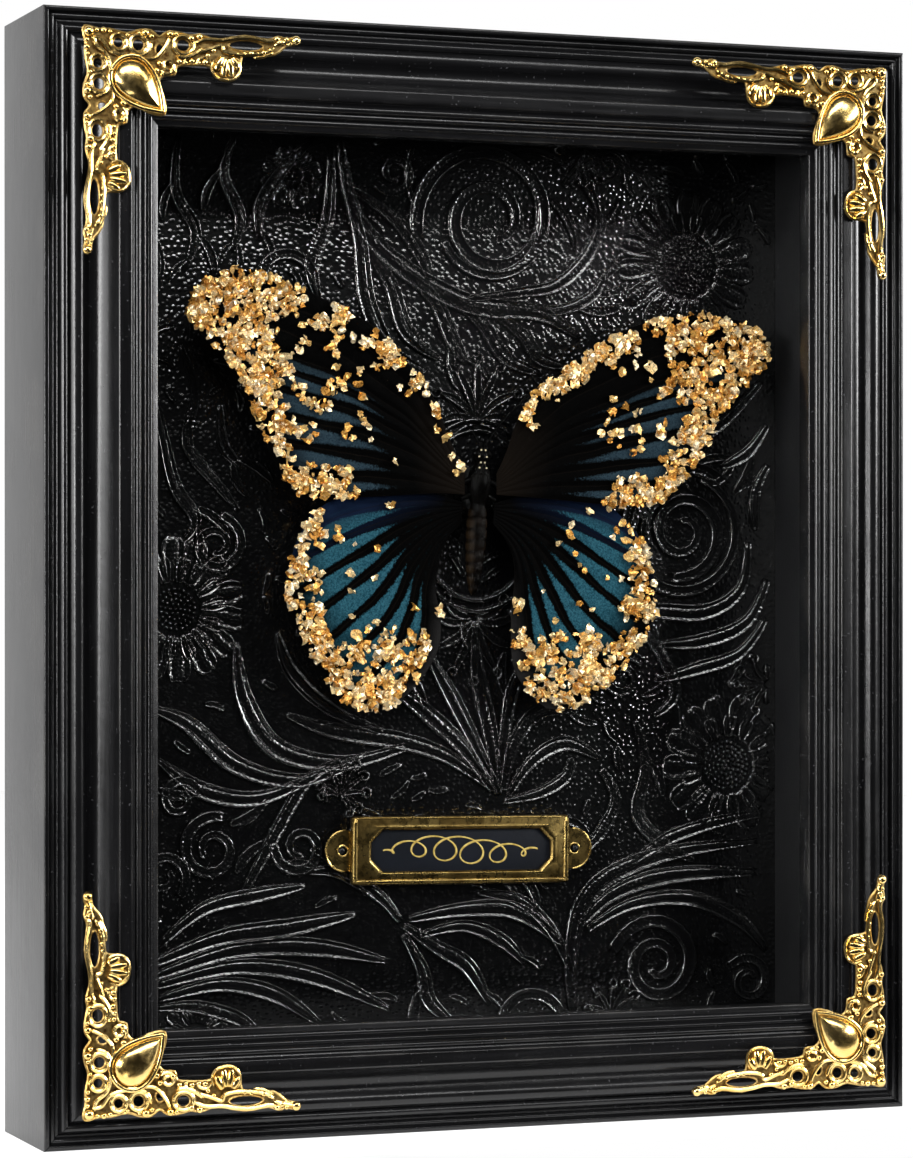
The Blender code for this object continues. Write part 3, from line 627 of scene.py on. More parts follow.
def gilding(name):
    # bright gold plate, brown in the hollows where the plating is thin
    made, tree = newTree(name)
    even = objectCoords(tree)
    parts = node(tree, "SeparateXYZ", None, {0: node(tree, "TexCoord").outputs["Object"]})
    rise = sums(tree, "SUBTRACT", (lipY - ornament["base"]) * mm, parts.outputs["Y"])
    mottle = cloud(tree, even, 900.0, 4.0, 0.6)
    broad = cloud(tree, even, 160.0, 2.0, 0.5)
    level = sums(tree, "MULTIPLY_ADD", sums(tree, "SUBTRACT", mottle, 0.5), 0.0008, rise)
    bright = span(tree, level, 0.00062, 0.00125, 0.0, 1.0)
    gold = blendColour(tree, span(tree, broad, 0.35, 0.65, 0.0, 1.0), (0.86, 0.57, 0.17),
                       (0.93, 0.68, 0.27))
    colour = blendColour(tree, bright, (0.075, 0.034, 0.008), gold)
    rough = sums(tree, "MULTIPLY_ADD", bright, -0.30, 0.50)
    rough = sums(tree, "ADD", rough, span(tree, mottle, 0.3, 0.7, -0.04, 0.06))
    surface(tree, {"Base Color": colour, "Metallic": 1.0, "Roughness": rough,
                   "Normal": bump(tree, mottle, 0.16, 0.0002)})
    return made


def ornamentArm():
    arm = bmesh.new()
    top = ornament["sheet"]
    for x, y, radius in ornament["beads"]:
        join(arm, bead(x, y, top + radius * 0.35, radius, 0.85))
    for radius, points in ornament["bars"]:
        join(arm, bar([(x, y, top + radius * 0.4) for x, y in points], radius))
    for x, y, halfX, halfY in ornament["rings"]:
        around = oval(x, y, halfX, halfY, 16)
        join(arm, bar([(a, b, top + 0.15) for a, b in around + around[:1]], 0.5, 2, 7, evenBar))
    for x, y, halfX, halfY in ornament["holes"]:
        around = oval(x, y, halfX, halfY, 18)
        join(arm, bar([(a, b, top - 0.15) for a, b in around + around[:1]], 0.3, 1, 6, evenBar))
    curl = spiral(20.0, 8.6, 1.9, 0.7, 2.6, -1.3, 18)
    join(arm, bar([(x, y, top + 0.35) for x, y in curl], 0.5, 1))
    ridges = ((-1, -0.3), (-0.8, 0.55), (-0.4, 0.95), (0, 1), (0.4, 0.95), (0.8, 0.55), (1, -0.3))
    for root, tip in ornament["shell"]:
        lobe = smoothPath([root, ((root[0] + tip[0]) / 2, (root[1] + tip[1]) / 2), tip], 7)
        widths = [0.25 + 0.85 * math.sin(math.pi * min(1.0, 0.08 + 0.86 * index / 14)) ** 0.6
                  for index in range(len(lobe))]
        join(arm, petal(lobe, widths, 1.1, ridges, top - 0.1, 0.3))
    shellRim = [(31.0, 6.6), (30.6, 8.6), (31.6, 10.3), (33.6, 11.0), (35.6, 10.8), (37.0, 9.6),
                (37.3, 7.6), (36.6, 5.9)]
    join(arm, bar([(x, y, top + 0.1) for x, y in shellRim], 0.42, 3))
    return arm


def ornamentBoss(work):
    form = ornament["boss"]
    middle = form["centre"]
    turned = Matrix.Translation((middle, middle, ornament["sheet"])) @ Matrix.Rotation(
        math.radians(45), 4, "Z")

    def outline(angle, grow):
        taper = (0.5 - 0.5 * math.cos(angle)) ** 0.5
        return Vector((math.cos(angle) * (form["length"] / 2 + grow),
                       math.sin(angle) * (form["width"] / 2 + grow) * taper / 0.77, 0))

    dome = bmesh.new()
    bmesh.ops.create_uvsphere(dome, u_segments=40, v_segments=20, radius=1.0)
    for vert in dome.verts:
        angle = math.atan2(vert.co.y, vert.co.x)
        reach = math.hypot(vert.co.x, vert.co.y)
        edge = outline(abs(angle), -0.75)
        bulge = 1 - 0.35 * max(0.0, vert.co.x)
        vert.co = Vector((edge.x * reach, math.copysign(edge.y, angle) * reach,
                          0.25 + vert.co.z * form["rise"] * bulge))
    bmesh.ops.remove_doubles(dome, verts=dome.verts, dist=0.002)
    bmesh.ops.recalc_face_normals(dome, faces=dome.faces)
    join(work, dome, turned)
    around = [outline(2 * math.pi * (index + 0.5) / 40, 0) for index in range(40)]
    rim = [(point.x, point.y if index < 20 else -abs(point.y), 0.3)
           for index, point in enumerate(around)]
    join(work, bar(rim + rim[:1], 0.62, 1, 8, evenBar), turned)


def cornerOrnaments():
    gold = gilding("gold_plate")
    whole = bmesh.new()
    arm = ornament["arm"]
    outline = arm + [(y, x) for x, y in reversed(arm[1:-1])]
    edge = [tuple(point) for point in smoothPath(outline, 3, True)]
    holes = []
    for x, y, halfX, halfY in ornament["holes"]:
        holes.append(oval(x, y, halfX, halfY, 14))
        holes.append(oval(y, x, halfY, halfX, 14))
    join(whole, cutSheet([edge] + holes, 0.05, ornament["sheet"]))
    join(whole, bar([(x, y, ornament["sheet"] - 0.1) for x, y in edge + edge[:1]], ornament["wire"],
                    1, 6, evenBar))
    half = ornamentArm()
    join(whole, half.copy())
    join(whole, half, Matrix(((0, 1, 0, 0), (1, 0, 0, 0), (0, 0, 1, 0), (0, 0, 0, 1))))
    ornamentBoss(whole)
    for name, (side, end, inSide, inEnd) in ornament["places"].items():
        place = Matrix(((-side * mm, 0, 0, 0), (0, 0, -mm, 0), (0, -end * mm, 0, 0), (0, 0, 0, 1)))
        place.translation = spot(side * (case["width"] / 2 - inSide), -ornament["base"],
                                 centreZ + end * (case["height"] / 2 - inEnd))
        work = bmesh.new()
        join(work, whole.copy(), place)
        placePiece("corner_" + name, work, [gold], ["corner_ornament_" + name], 50)
    whole.free()
    print("corner ornaments done")


# the brass card holder under the butterfly

label = {
    "centre": (0.2, 64.7),
    "tilt": -0.7,
    "half": (28.0, 8.2),
    "window": (23.2, 5.0, 3.0),
    "front": 20.15,
    "back": 22.5,
    "wall": 1.6,
    # the ear's radius and its hole's
    "ear": (4.9, 1.3),
    "flourish": {"points": 180, "loops": 6, "length": 40, "height": 3.1},
}


def agedBrass(name):
    made, tree = newTree(name)
    even = objectCoords(tree)
    stains = cloud(tree, even, 70.0, 5.0, 0.65, 0.6)
    spots = cloud(tree, even, 420.0, 4.0, 0.7)
    brushed = cloud(tree, objectCoords(tree, (0.06, 1, 1)), 1500.0, 3.0, 0.6)
    worn = blendColour(tree, span(tree, stains, 0.36, 0.62, 0.0, 1.0), (0.18, 0.114, 0.034),
                       (0.50, 0.35, 0.12))
    worn = blendColour(tree, span(tree, spots, 0.60, 0.72, 0.0, 0.75), worn, (0.075, 0.045, 0.016))
    rough = sums(tree, "ADD", span(tree, stains, 0.3, 0.7, 0.34, 0.20),
                 span(tree, spots, 0.4, 0.7, -0.04, 0.12))
    relief = bump(tree, brushed, 0.10, 0.00015)
    surface(tree, {"Base Color": worn, "Metallic": 1.0, "Roughness": rough,
                   "Normal": bump(tree, spots, 0.12, 0.0002, relief)})
    return made


def cardPaper(name):
    made, tree = newTree(name)
    even = objectCoords(tree)
    pulp = cloud(tree, even, 1400.0, 4.0, 0.6)
    shade = cloud(tree, even, 55.0, 2.0, 0.5)
    colour = ramp(tree, shade, [(0.35, (0.0035, 0.0045, 0.007)), (0.65, (0.0075, 0.009, 0.014))])
    surface(tree, {"Base Color": colour, "Roughness": span(tree, pulp, 0.3, 0.7, 0.5, 0.65),
                   "Normal": bump(tree, pulp, 0.15, 0.0002), "Specular IOR Level": 0.12})
    return made


def goldInk(name):
    made, tree = newTree(name)
    grain = cloud(tree, objectCoords(tree), 1500.0, 3.0, 0.6)
    colour = ramp(tree, grain, [(0.35, (0.60, 0.40, 0.08)), (0.65, (0.90, 0.68, 0.22))])
    surface(tree, {"Base Color": colour, "Metallic": 0.55,
                   "Roughness": span(tree, grain, 0.3, 0.7, 0.35, 0.5),
                   "Normal": bump(tree, grain, 0.2, 0.0001)})
    return made


def onLabel(x, z):
    # a place on the holder, measured from its centre and its back
    centreX, centreHeight = label["centre"]
    tilt = Matrix.Rotation(math.radians(label["tilt"]), 4, "Z")
    return standUp(label["back"], centreX, centreHeight) @ tilt @ Matrix.Translation((x, z, 0))


def eightSided(work, x, z, corner, height):
    corners = [(x, -z + corner), (x, z - corner), (x - corner, z), (-x + corner, z),
               (-x, z - corner), (-x, -z + corner), (-x + corner, -z), (x - corner, -z)]
    verts = [work.verts.new((a, b, height)) for a, b in corners]
    return [work.edges.new((verts[index - 1], verts[index])) for index in range(8)]


def holderPlate():
    # the pressed plate: its rim, the raised border of the window and the hollow behind
    halfX, halfZ = label["half"]
    winX, winZ, cut = label["window"]
    wall = halfX - label["wall"], halfZ - label["wall"]
    thick = label["back"] - label["front"]
    plate = bmesh.new()
    steps = [
        (halfX, halfZ, 0.5, 0.0),
        (halfX, halfZ, 0.5, thick - 0.9),
        (halfX - 0.5, halfZ - 0.5, 0.5, thick - 0.45),
        (winX + 2.0, winZ + 1.4, 1.6, thick - 0.35),
        (winX + 1.2, winZ + 0.8, 2.6, thick),
        (winX + 0.5, winZ + 0.4, 2.9, thick - 0.05),
        (winX, winZ, cut, thick - 0.55),
        (winX, winZ, cut, thick - 1.25),
        (*wall, 0.5, thick - 1.3),
        (*wall, 0.5, 0.0),
    ]
    rings = [eightSided(plate, *step) for step in steps]
    for first, second in zip(rings, rings[1:] + rings[:1]):
        bmesh.ops.bridge_loops(plate, edges=first + second)
    bmesh.ops.recalc_face_normals(plate, faces=plate.faces)
    sharp = [edge for edge in plate.edges if edge.calc_face_angle(0) > 0.5]
    bmesh.ops.bevel(plate, geom=sharp, offset=0.12, offset_type="OFFSET", segments=2, profile=0.5,
                    affect="EDGES", material=-1)
    return plate


def rolledEdge(start, end, height, radius, steps, sides, fade):
    middle = ((start[0] + end[0]) / 2, (start[1] + end[1]) / 2)
    return bar([(*point, height) for point in (start, middle, end)], radius, steps, sides,
               ((0, 0.6), (fade, 1), (1 - fade, 1), (1, 0.6)))


def cardHolder():
    halfX, halfZ = label["half"]
    winX, winZ = label["window"][:2]
    thick = label["back"] - label["front"]
    work = bmesh.new()
    join(work, holderPlate(), onLabel(0, 0))
    for side in (-1, 1):
        edgeX = side * (halfX - 0.7)
        join(work, rolledEdge((edgeX, -halfZ + 0.5), (edgeX, halfZ - 0.5), thick - 0.85, 0.85, 6, 12, 0.04),
             onLabel(0, 0))
        # a half-round ear with a raised rim and a pin hole
        radius, holeRadius = label["ear"]
        ear = [(side * x, z) for x, z in oval(0, 0, radius, radius, 22, -math.pi / 2, math.pi / 2)]
        hole = [(side * (x + 0.6), z) for x, z in oval(0, 0, holeRadius, holeRadius, 16)]
        tongue = [(-side * 1.4, radius), (-side * 1.4, -radius)]
        lug = onLabel(side * (halfX + 1.4), 0)
        join(work, cutSheet([ear + tongue, hole], 0.02, 0.6), lug)
        join(work, bar([(x, z, 0.5) for x, z in ear], 0.3, 1, 7), lug)
        join(work, bar([(x, z, 0.5) for x, z in hole + hole[:1]], 0.26, 1, 7, evenBar), lug)
    footZ, headZ = -halfZ + 0.7, halfZ - 0.4
    join(work, rolledEdge((-halfX + 0.2, footZ), (halfX - 0.2, footZ), thick - 0.8, 0.8, 8, 12, 0.02),
         onLabel(0, 0))
    join(work, rolledEdge((-halfX + 1.0, headZ), (halfX - 1.0, headZ), thick - 0.75, 0.4, 8, 10, 0.02),
         onLabel(0, 0))
    placePiece("card_holder", work, [agedBrass("aged_brass_plate")], ["label_holder"], 35)

    card = bmesh.new()
    blank = bmesh.new()
    bmesh.ops.create_cube(blank, size=1.0, matrix=Matrix.Translation((0, 0, 0.95))
                          @ Matrix.Diagonal((winX * 2 + 2.4, winZ * 2 + 2.0, 0.45, 1)))
    bmesh.ops.bevel(blank, geom=blank.edges[:], offset=0.12, offset_type="OFFSET", segments=2,
                    profile=0.5, affect="EDGES", material=-1)
    join(card, blank, onLabel(0, 0))
    join(card, penFlourish(), onLabel(0, 0), 1)
    placePiece("name_card", card, [cardPaper("dark_card"), goldInk("gold_ink")],
               ["label_card"], 40)
    steel = platedSteel("pin_steel", (0.035, 0.035, 0.037), 0.35)
    for side, name in ((-1, "left"), (1, "right")):
        pin = bmesh.new()
        join(pin, bead(0, 0, 0.35, 0.88, 0.7, 3), onLabel(side * (halfX + 2.2), 0))
        placePiece("label_pin_" + name, pin, [steel], ["label_pin_" + name], 60)
    print("card holder done")


def penFlourish():
    # a line with a row of loops that swell and fade, pressed harder on each downstroke
    form = label["flourish"]
    stroke = []
    for index in range(form["points"]):
        t = index / (form["points"] - 1)
        turn = t * form["loops"] * 2 * math.pi + 0.6
        size = form["height"] * math.sin(math.pi * t) ** 0.8
        stroke.append((form["length"] * (t - 0.5) + 1.5 * size * math.sin(turn),
                       size * math.cos(turn) + 0.7 * math.sin(2 * math.pi * t), 1.22))
    beats = 12 * form["loops"]
    pressure = [(index / beats, 0.75 + 0.45 * math.sin(index * math.pi / 6) ** 2)
                for index in range(beats + 1)]
    return bar(stroke, 0.24, 2, 6, tuple(pressure), 0.5)


# embossed leather: a pebbled ground with closed leaves, scrolls and flowers pressed up from it

tooling = {
    # depths of the sheet's CAD front and of the ground between the leaves, then the leaves' height
    "sheetFront": 22.8,
    "ground": 24.05,
    "relief": 1.1,
    "cell": 1.5,
    "eyeBeads": 1.25,
    "sprigTries": 2600,
    # side leaves: points apart, length, bend
    "sideLeaves": (4, 11.0, 1.0),
    # the ring of cord: centre, half sizes, points
    "wreath": (5.3, 145.6, 15.5, 20.6, 56),
    "seed": 11,
    "window": (-82.0, 85.0, 20.5, 239.5),
    # long ridged leaves: width, then points (x, z)
    "sweeps": [
        (3.4, [(-30, 236), (-26, 218), (-15, 206), (3, 197), (22, 195), (33, 189)]),
        (2.6, [(-32, 234), (-33, 217), (-37, 205), (-35, 196)]),
        (3.0, [(-29, 226), (-25, 212), (-23, 197), (-17, 185), (-7, 180)]),
        (2.8, [(-24, 211), (-17, 201), (-13, 190), (-4, 183)]),
        (2.6, [(-15, 205), (-6, 198), (-1, 188), (3, 182)]),
        (2.4, [(-4, 200), (6, 193), (13, 184), (23, 180)]),
        (2.2, [(8, 196), (17, 190), (22, 184), (30, 182)]),
        (2.4, [(-27, 224), (-16, 217), (-9, 208), (-7, 202)]),
        (2.4, [(2, 198), (16, 200), (26, 202), (34, 209), (38, 218), (34, 221)]),
        (2.0, [(12, 198), (26, 196), (36, 200), (39, 206)]),
        (2.2, [(28, 226), (34, 232), (42, 234), (46, 230)]),
        (2.2, [(-36, 236), (-44, 228), (-50, 219), (-50, 210)]),
        (2.0, [(-56, 236), (-59, 226), (-55, 216), (-57, 207)]),
        (2.0, [(-70, 236), (-71, 222), (-66, 212), (-69, 202)]),
        (2.0, [(-79, 232), (-78, 214), (-75, 204), (-78, 190)]),
        (2.2, [(-77, 178), (-74, 164), (-71, 152), (-66, 144), (-70, 138)]),
        (2.0, [(-70, 186), (-66, 174), (-68, 162), (-60, 152), (-55, 146)]),
        (2.0, [(-60, 172), (-59, 162), (-54, 156)]),
        (3.0, [(11, 77), (9, 91), (6, 105), (5, 115)]),
        (2.6, [(11, 78), (4, 92), (-2, 103), (-8, 113)]),
        (2.8, [(10, 78), (2, 89), (-8, 98), (-20, 107)]),
        (3.0, [(10, 79), (-2, 87), (-14, 91), (-32, 94), (-44, 98)]),
        (2.6, [(12, 78), (15, 90), (22, 98), (33, 98)]),
        (2.6, [(13, 77), (20, 86), (29, 90), (38, 86)]),
        (2.4, [(11, 80), (13, 95), (16, 106), (24, 114)]),
        (2.2, [(12, 76), (22, 78), (29, 82), (30, 87)]),
        (3.4, [(-12, 90), (-30, 86), (-46, 90), (-54, 102), (-56, 116)]),
        (3.0, [(-24, 87), (-40, 82), (-56, 86), (-68, 96), (-78, 100)]),
        (2.8, [(-34, 84), (-50, 78), (-64, 80), (-76, 88)]),
        (2.6, [(-18, 93), (-32, 99), (-42, 108), (-46, 118)]),
        (2.2, [(-23, 88), (-37, 83), (-47, 68), (-56, 52)]),
        (3.2, [(-78, 39), (-60, 45), (-42, 47), (-25, 50)]),
        (3.2, [(-78, 36), (-56, 42), (-36, 42), (-17, 38)]),
        (3.0, [(-77, 34), (-56, 38), (-36, 35), (-16, 26)]),
        (2.8, [(-76, 31), (-60, 34), (-46, 31), (-34, 23)]),
        (2.6, [(-76, 43), (-64, 52), (-50, 55), (-38, 57)]),
        (2.4, [(-76, 29), (-66, 29), (-56, 26), (-50, 22)]),
        (2.8, [(-14, 47), (-5, 41), (3, 36), (9, 26)]),
        (2.6, [(-14, 45), (-9, 36), (-7, 28), (0, 22)]),
        (3.0, [(-13, 48), (2, 50), (16, 49), (29, 40)]),
        (2.4, [(-14, 47), (-20, 54), (-30, 60), (-38, 60)]),
        (2.4, [(-10, 44), (2, 46), (12, 42), (18, 36)]),
        (3.2, [(31, 20), (30, 36), (33, 50), (42, 58), (60, 63), (84, 65)]),
        (3.0, [(32, 45), (42, 53), (58, 57), (84, 57)]),
        (2.8, [(34, 44), (46, 50), (62, 51), (76, 45), (84, 36)]),
        (2.2, [(31, 32), (25, 44), (16, 52), (5, 54)]),
        (2.4, [(84, 72), (70, 70), (56, 66), (46, 60)]),
        (2.4, [(47, 96), (50, 84), (48, 72), (56, 64), (64, 60)]),
        (2.2, [(38, 84), (42, 76), (38, 68), (32, 62)]),
        (2.8, [(78, 140), (76, 128), (66, 122), (50, 122), (40, 116)]),
        (2.6, [(84, 132), (78, 120), (66, 115), (52, 114)]),
        (2.4, [(84, 122), (76, 112), (64, 108), (52, 105)]),
        (2.2, [(46, 120), (54, 112), (58, 102), (52, 96)]),
        (2.4, [(82, 180), (74, 172), (66, 166), (58, 162)]),
        (2.2, [(84, 170), (78, 162), (70, 158)]),
        (2.0, [(84, 160), (80, 152), (80, 142)]),
    ],
    # spirals: centre, outer and inner radius, start angle in degrees, turns, width
    "spirals": [
        (8, 217.5, 19.0, 12.5, 200, -1.0, 2.2), (9, 217.5, 14.5, 5.0, 30, -1.3, 2.2),
        (60, 142, 16.5, 14.0, 40, 1.1, 2.0), (60, 142, 12.0, 2.5, 250, 1.6, 1.8),
        (53, 35, 12.5, 2.0, 170, -1.9, 2.0), (18, 21, 10.0, 3.0, 10, 0.9, 1.8),
        (-44, 201, 8.0, 3.0, 0, 1.2, 1.6), (-61, 138, 7.5, 1.6, 90, -1.6, 1.5),
        (-40, 66, 7.0, 1.6, 160, 1.4, 1.5), (-62, 66, 8.5, 2.0, 60, 1.5, 1.6),
        (30, 66, 6.0, 1.5, 200, -1.4, 1.4), (44, 106, 6.5, 1.5, 20, 1.4, 1.4),
        (-74, 60, 6.5, 1.5, 300, 1.3, 1.4), (-24, 68, 6.5, 1.5, 100, -1.4, 1.4),
        (-70, 78, 5.5, 1.4, 0, 1.3, 1.3), (78, 30, 6.5, 1.6, 150, -1.4, 1.4),
        (40, 232, 5.0, 1.4, 0, 1.3, 1.3), (-16, 228, 5.5, 1.5, 200, 1.3, 1.3),
    ],
    # flowers: centre, radius, petals, radius of the dotted eye
    "flowers": [
        (61, 208, 19, 15, 8.5), (-71, 123, 18, 14, 6.5), (72, 84, 18, 13, 7.5),
        (-66, 22, 9, 9, 3.0), (-42, 226, 8, 8, 2.6), (30, 172, 6, 7, 2.0),
    ],
    # small crests of leaves: foot, heading in degrees, size
    "crests": [(5.4, 168, 90, 15), (4.7, 121, -90, 15), (33, 236, -80, 9), (-8, 62, 100, 10),
               (40, 22, 60, 9), (-30, 78, 60, 8), (20, 60, 70, 9), (84, 104, 180, 9)],
}
ridgedLeaf = ((-1, -0.3), (-0.9, 0.6), (-0.74, 0.66), (-0.55, 0.12), (-0.42, 0.14), (-0.24, 0.62),
              (0, 0.2), (0.24, 0.62), (0.42, 0.14), (0.55, 0.12), (0.74, 0.66), (0.9, 0.6), (1, -0.3))
plainLeaf = ((-1, -0.3), (-0.84, 0.66), (-0.6, 0.72), (-0.25, 0.16), (0, 0.5), (0.25, 0.16),
             (0.6, 0.72), (0.84, 0.66), (1, -0.3))
cord = ((-1, -0.35), (-0.7, 0.5), (-0.3, 0.92), (0, 1), (0.3, 0.92), (0.7, 0.5), (1, -0.35))


def leatherFinish(name, followsLeaf):
    # glossy black hide: fine pebbling everywhere, rows of punched dots along the leaves
    made, tree = newTree(name)
    even = objectCoords(tree)
    pores = cloud(tree, even, 2300.0, 3.0, 0.6)
    creases = cloud(tree, even, 260.0, 4.0, 0.6, 0.8)
    sheen = cloud(tree, even, 38.0, 3.0, 0.5)
    if followsLeaf:
        along = node(tree, "UVMap", {"uv_map": "UVMap"}).outputs[0]
        punched = node(tree, "TexVoronoi", {"voronoi_dimensions": "2D"},
                       {"Vector": along, "Scale": 9.5, "Randomness": 0.55}).outputs["Distance"]
        dots = span(tree, punched, 0.16, 0.42, 1.0, 0.0)
    else:
        punched = node(tree, "TexVoronoi", None, {"Vector": even, "Scale": 780.0,
                                                  "Randomness": 0.8}).outputs["Distance"]
        dots = span(tree, punched, 0.15, 0.5, 1.0, 0.0)
    colour = ramp(tree, creases, [(0.3, (0.0012, 0.0012, 0.0014)), (0.7, (0.0028, 0.0028, 0.0031))])
    rough = sums(tree, "ADD", span(tree, sheen, 0.3, 0.7, 0.145, 0.21),
                 span(tree, pores, 0.3, 0.7, -0.02, 0.04))
    relief = bump(tree, creases, 0.10, 0.0004)
    relief = bump(tree, dots, 0.3 if followsLeaf else 0.5, 0.0002, relief)
    relief = bump(tree, pores, 0.06, 0.0001, relief)
    surface(tree, {"Base Color": colour, "Roughness": rough, "Normal": relief,
                   "Specular IOR Level": 0.95})
    return made


def tapered(count, width, foot=0.35, tip=0.12, fullest=0.4):
    made = []
    for index in range(count):
        t = index / (count - 1)
        rise = min(t / fullest, 1.0)
        fall = min((1 - t) / (1 - fullest), 1.0)
        made.append(width * min(foot + (1 - foot) * math.sin(rise * math.pi / 2),
                                tip + (1 - tip) * math.sin(fall * math.pi / 2)))
    return made


def curved(start, heading, length, bend, count=10):
    # a path that leaves its start on a heading and bends steadily
    made = []
    at = Vector(start[:2])
    for index in range(count):
        made.append(at.copy())
        angle = heading + bend * (index / (count - 1)) ** 1.2
        at += Vector((math.cos(angle), math.sin(angle))) * length / (count - 1)
    return made


def cellsUnder(point, reach):
    steps = (-reach, 0, reach)
    cell = tooling["cell"]
    return [(round((point.x + a) / cell), round((point.y + b) / cell)) for a in steps for b in steps]


def press(hide, path, widths, ridges, height=1.0, shy=False):
    # raises one leaf; a shy one gives way to what is there already
    lowX, highX, lowZ, highZ = tooling["window"]
    inside = [point for point in path
              if lowX + 1 < point.x < highX - 1 and lowZ + 1 < point.y < highZ - 1]
    if len(inside) < 4 or len(inside) < len(path) * 0.4:
        return
    kept = [width for point, width in zip(path, widths) if point in inside]
    if shy:
        blocked = [point for point in inside[len(inside) // 3:]
                   if any(cell in hide["taken"] for cell in cellsUnder(point, 0.6))]
        if len(blocked) > len(inside) * 0.12:
            return
    for point, width in zip(inside, kept):
        hide["taken"].update(cellsUnder(point, width * 0.85))
    join(hide["work"], petal(inside, kept, tooling["relief"] * height, ridges))


def pressSweeps(hide):
    # long leaves first, then the small ones that spring from both their sides
    stems = [(width, smoothPath(points, 7)) for width, points in tooling["sweeps"]]
    for width, path in stems:
        press(hide, path, tapered(len(path), width * 0.85, 0.35, 0.15, 0.6), ridgedLeaf)
    every, length, bend = tooling["sideLeaves"]
    for width, path in stems:
        for index in range(every // 2, len(path) - 3, every):
            ahead = path[index + 1] - path[index - 1]
            heading = math.atan2(ahead.y, ahead.x)
            t = index / (len(path) - 1)
            for side in (-1, 1):
                size = length * (0.55 + 0.6 * math.sin(math.pi * t)) * hide["picked"].uniform(0.85, 1.15)
                leaflet = curved(path[index], heading + side * 0.7, size, -side * bend, 12)
                press(hide, leaflet, tapered(len(leaflet), size * 0.12, 0.3, 0.2, 0.6), plainLeaf, 0.8, True)


def pressSpirals(hide):
    for x, z, outer, inner, start, turns, width in tooling["spirals"]:
        path = spiral(x, z, outer, inner, math.radians(start), turns, int(26 + outer * abs(turns)))
        press(hide, path, tapered(len(path), width, 0.8, 0.5, 0.1), plainLeaf)
        hand = 1 if turns > 0 else -1
        for index in range(3, len(path) - 8, 6):
            ahead = path[index + 1] - path[index - 1]
            heading = math.atan2(ahead.y, ahead.x)
            press(hide, curved(path[index], heading - hand * 0.6, inner + outer * 0.34, hand * 1.2, 9),
                  tapered(9, 1.0, 0.4, 0.2, 0.6), plainLeaf, 0.8, True)


def pressFlowers(hide):
    # two layers of petals round an eye of small beads
    pitch = tooling["eyeBeads"]
    for x, z, radius, petals, eye in tooling["flowers"]:
        for layer, (reach, spread, lift) in enumerate(((1.0, 1.0, 0.75), (0.72, 0.8, 1.0))):
            for index in range(petals):
                angle = 2 * math.pi * (index + 0.5 * layer) / petals + 0.3
                first = Vector((x, z)) + Vector((math.cos(angle), math.sin(angle))) * eye * 0.9
                length = radius * reach - eye * 0.9
                path = curved(first, angle, length, hide["picked"].uniform(-0.35, 0.35), 11)
                width = math.pi * radius * reach / petals * spread * 0.82
                press(hide, path, tapered(11, width, 0.3, 0.35, 0.72), ridgedLeaf, lift)
        rings = int(eye / 1.15)
        for ring in range(rings):
            r = eye * 0.92 * ring / rings
            for index in range(max(1, int(2 * math.pi * r / pitch))):
                angle = index * pitch / max(r, 0.3) + ring
                join(hide["work"], bead(x + r * math.cos(angle), z + r * math.sin(angle),
                                        0.28 * tooling["relief"], 0.42, 0.9, 1))
        for point in oval(x, z, eye * 0.6, eye * 0.6, 12):
            hide["taken"].update(cellsUnder(Vector(point), eye * 0.35))


def pressCrests(hide):
    # a fan of leaves, each ending in a curl
    for x, z, heading, size in tooling["crests"]:
        for lean in (-1.5, -1.05, -0.6, -0.25, 0.0, 0.25, 0.6, 1.05, 1.5):
            hand = 1 if lean > 0 else -1
            reach = size * (1.05 - 0.28 * abs(lean))
            path = curved((x, z), math.radians(heading) + lean, reach, 1.5 * hand * min(abs(lean), 1), 11)
            press(hide, path, tapered(11, size * 0.085, 0.35, 0.3, 0.6), plainLeaf)
            curl = spiral(path[-1].x, path[-1].y, 1.7, 0.5, heading + lean, 1.2 * hand, 14)
            press(hide, curl, tapered(14, 0.6, 0.7, 0.6, 0.2), cord, 0.9)


def pressWreath(hide):
    # two cords round the butterfly's place
    x, z, halfX, halfZ, count = tooling["wreath"]
    for grow in (0.0, 2.6):
        ring = [Vector(point) for point in oval(x, z, halfX + grow, halfZ + grow, count)]
        press(hide, ring + ring[:2], [0.95] * (count + 2), cord)


def pressSprigs(hide):
    # small sprigs fill the ground that is left
    lowX, highX, lowZ, highZ = tooling["window"]
    picked = hide["picked"]
    for _ in range(tooling["sprigTries"]):
        at = Vector((picked.uniform(lowX + 3, highX - 3), picked.uniform(lowZ + 3, highZ - 3)))
        if any(cell in hide["taken"] for cell in cellsUnder(at, 2.0)):
            continue
        heading = picked.uniform(0, 2 * math.pi)
        for lean in (-0.9, -0.3, 0.3, 0.9):
            size = picked.uniform(5.0, 8.0)
            press(hide, curved(at, heading + lean, size, lean * 1.3, 8), tapered(8, 0.95, 0.3, 0.25, 0.6),
                  plainLeaf, 0.85, True)


def leather():
    work = bmesh.new()
    work.loops.layers.uv.new("UVMap")
    hide = {"work": work, "taken": set(), "picked": random.Random(tooling["seed"])}
    pressSweeps(hide)
    pressSpirals(hide)
    pressFlowers(hide)
    pressCrests(hide)
    pressWreath(hide)
    pressSprigs(hide)
    bmesh.ops.transform(work, matrix=standUp(tooling["ground"]), verts=work.verts)
    bmesh.ops.reverse_faces(work, faces=work.faces)
    bmesh.ops.recalc_face_normals(work, faces=work.faces)
    print("leather relief", len(work.faces), "faces")
    relieved = leatherFinish("hide_relief", True)
    placePiece("leather_relief", work, [relieved], ["embossed_leather"], 180)
    ground = leatherFinish("hide_ground", False)
    roundedBox("leather_ground", "embossed_leather", ground, 0.2,
               (0, tooling["sheetFront"] - tooling["ground"], 0, 0, 0, 0))


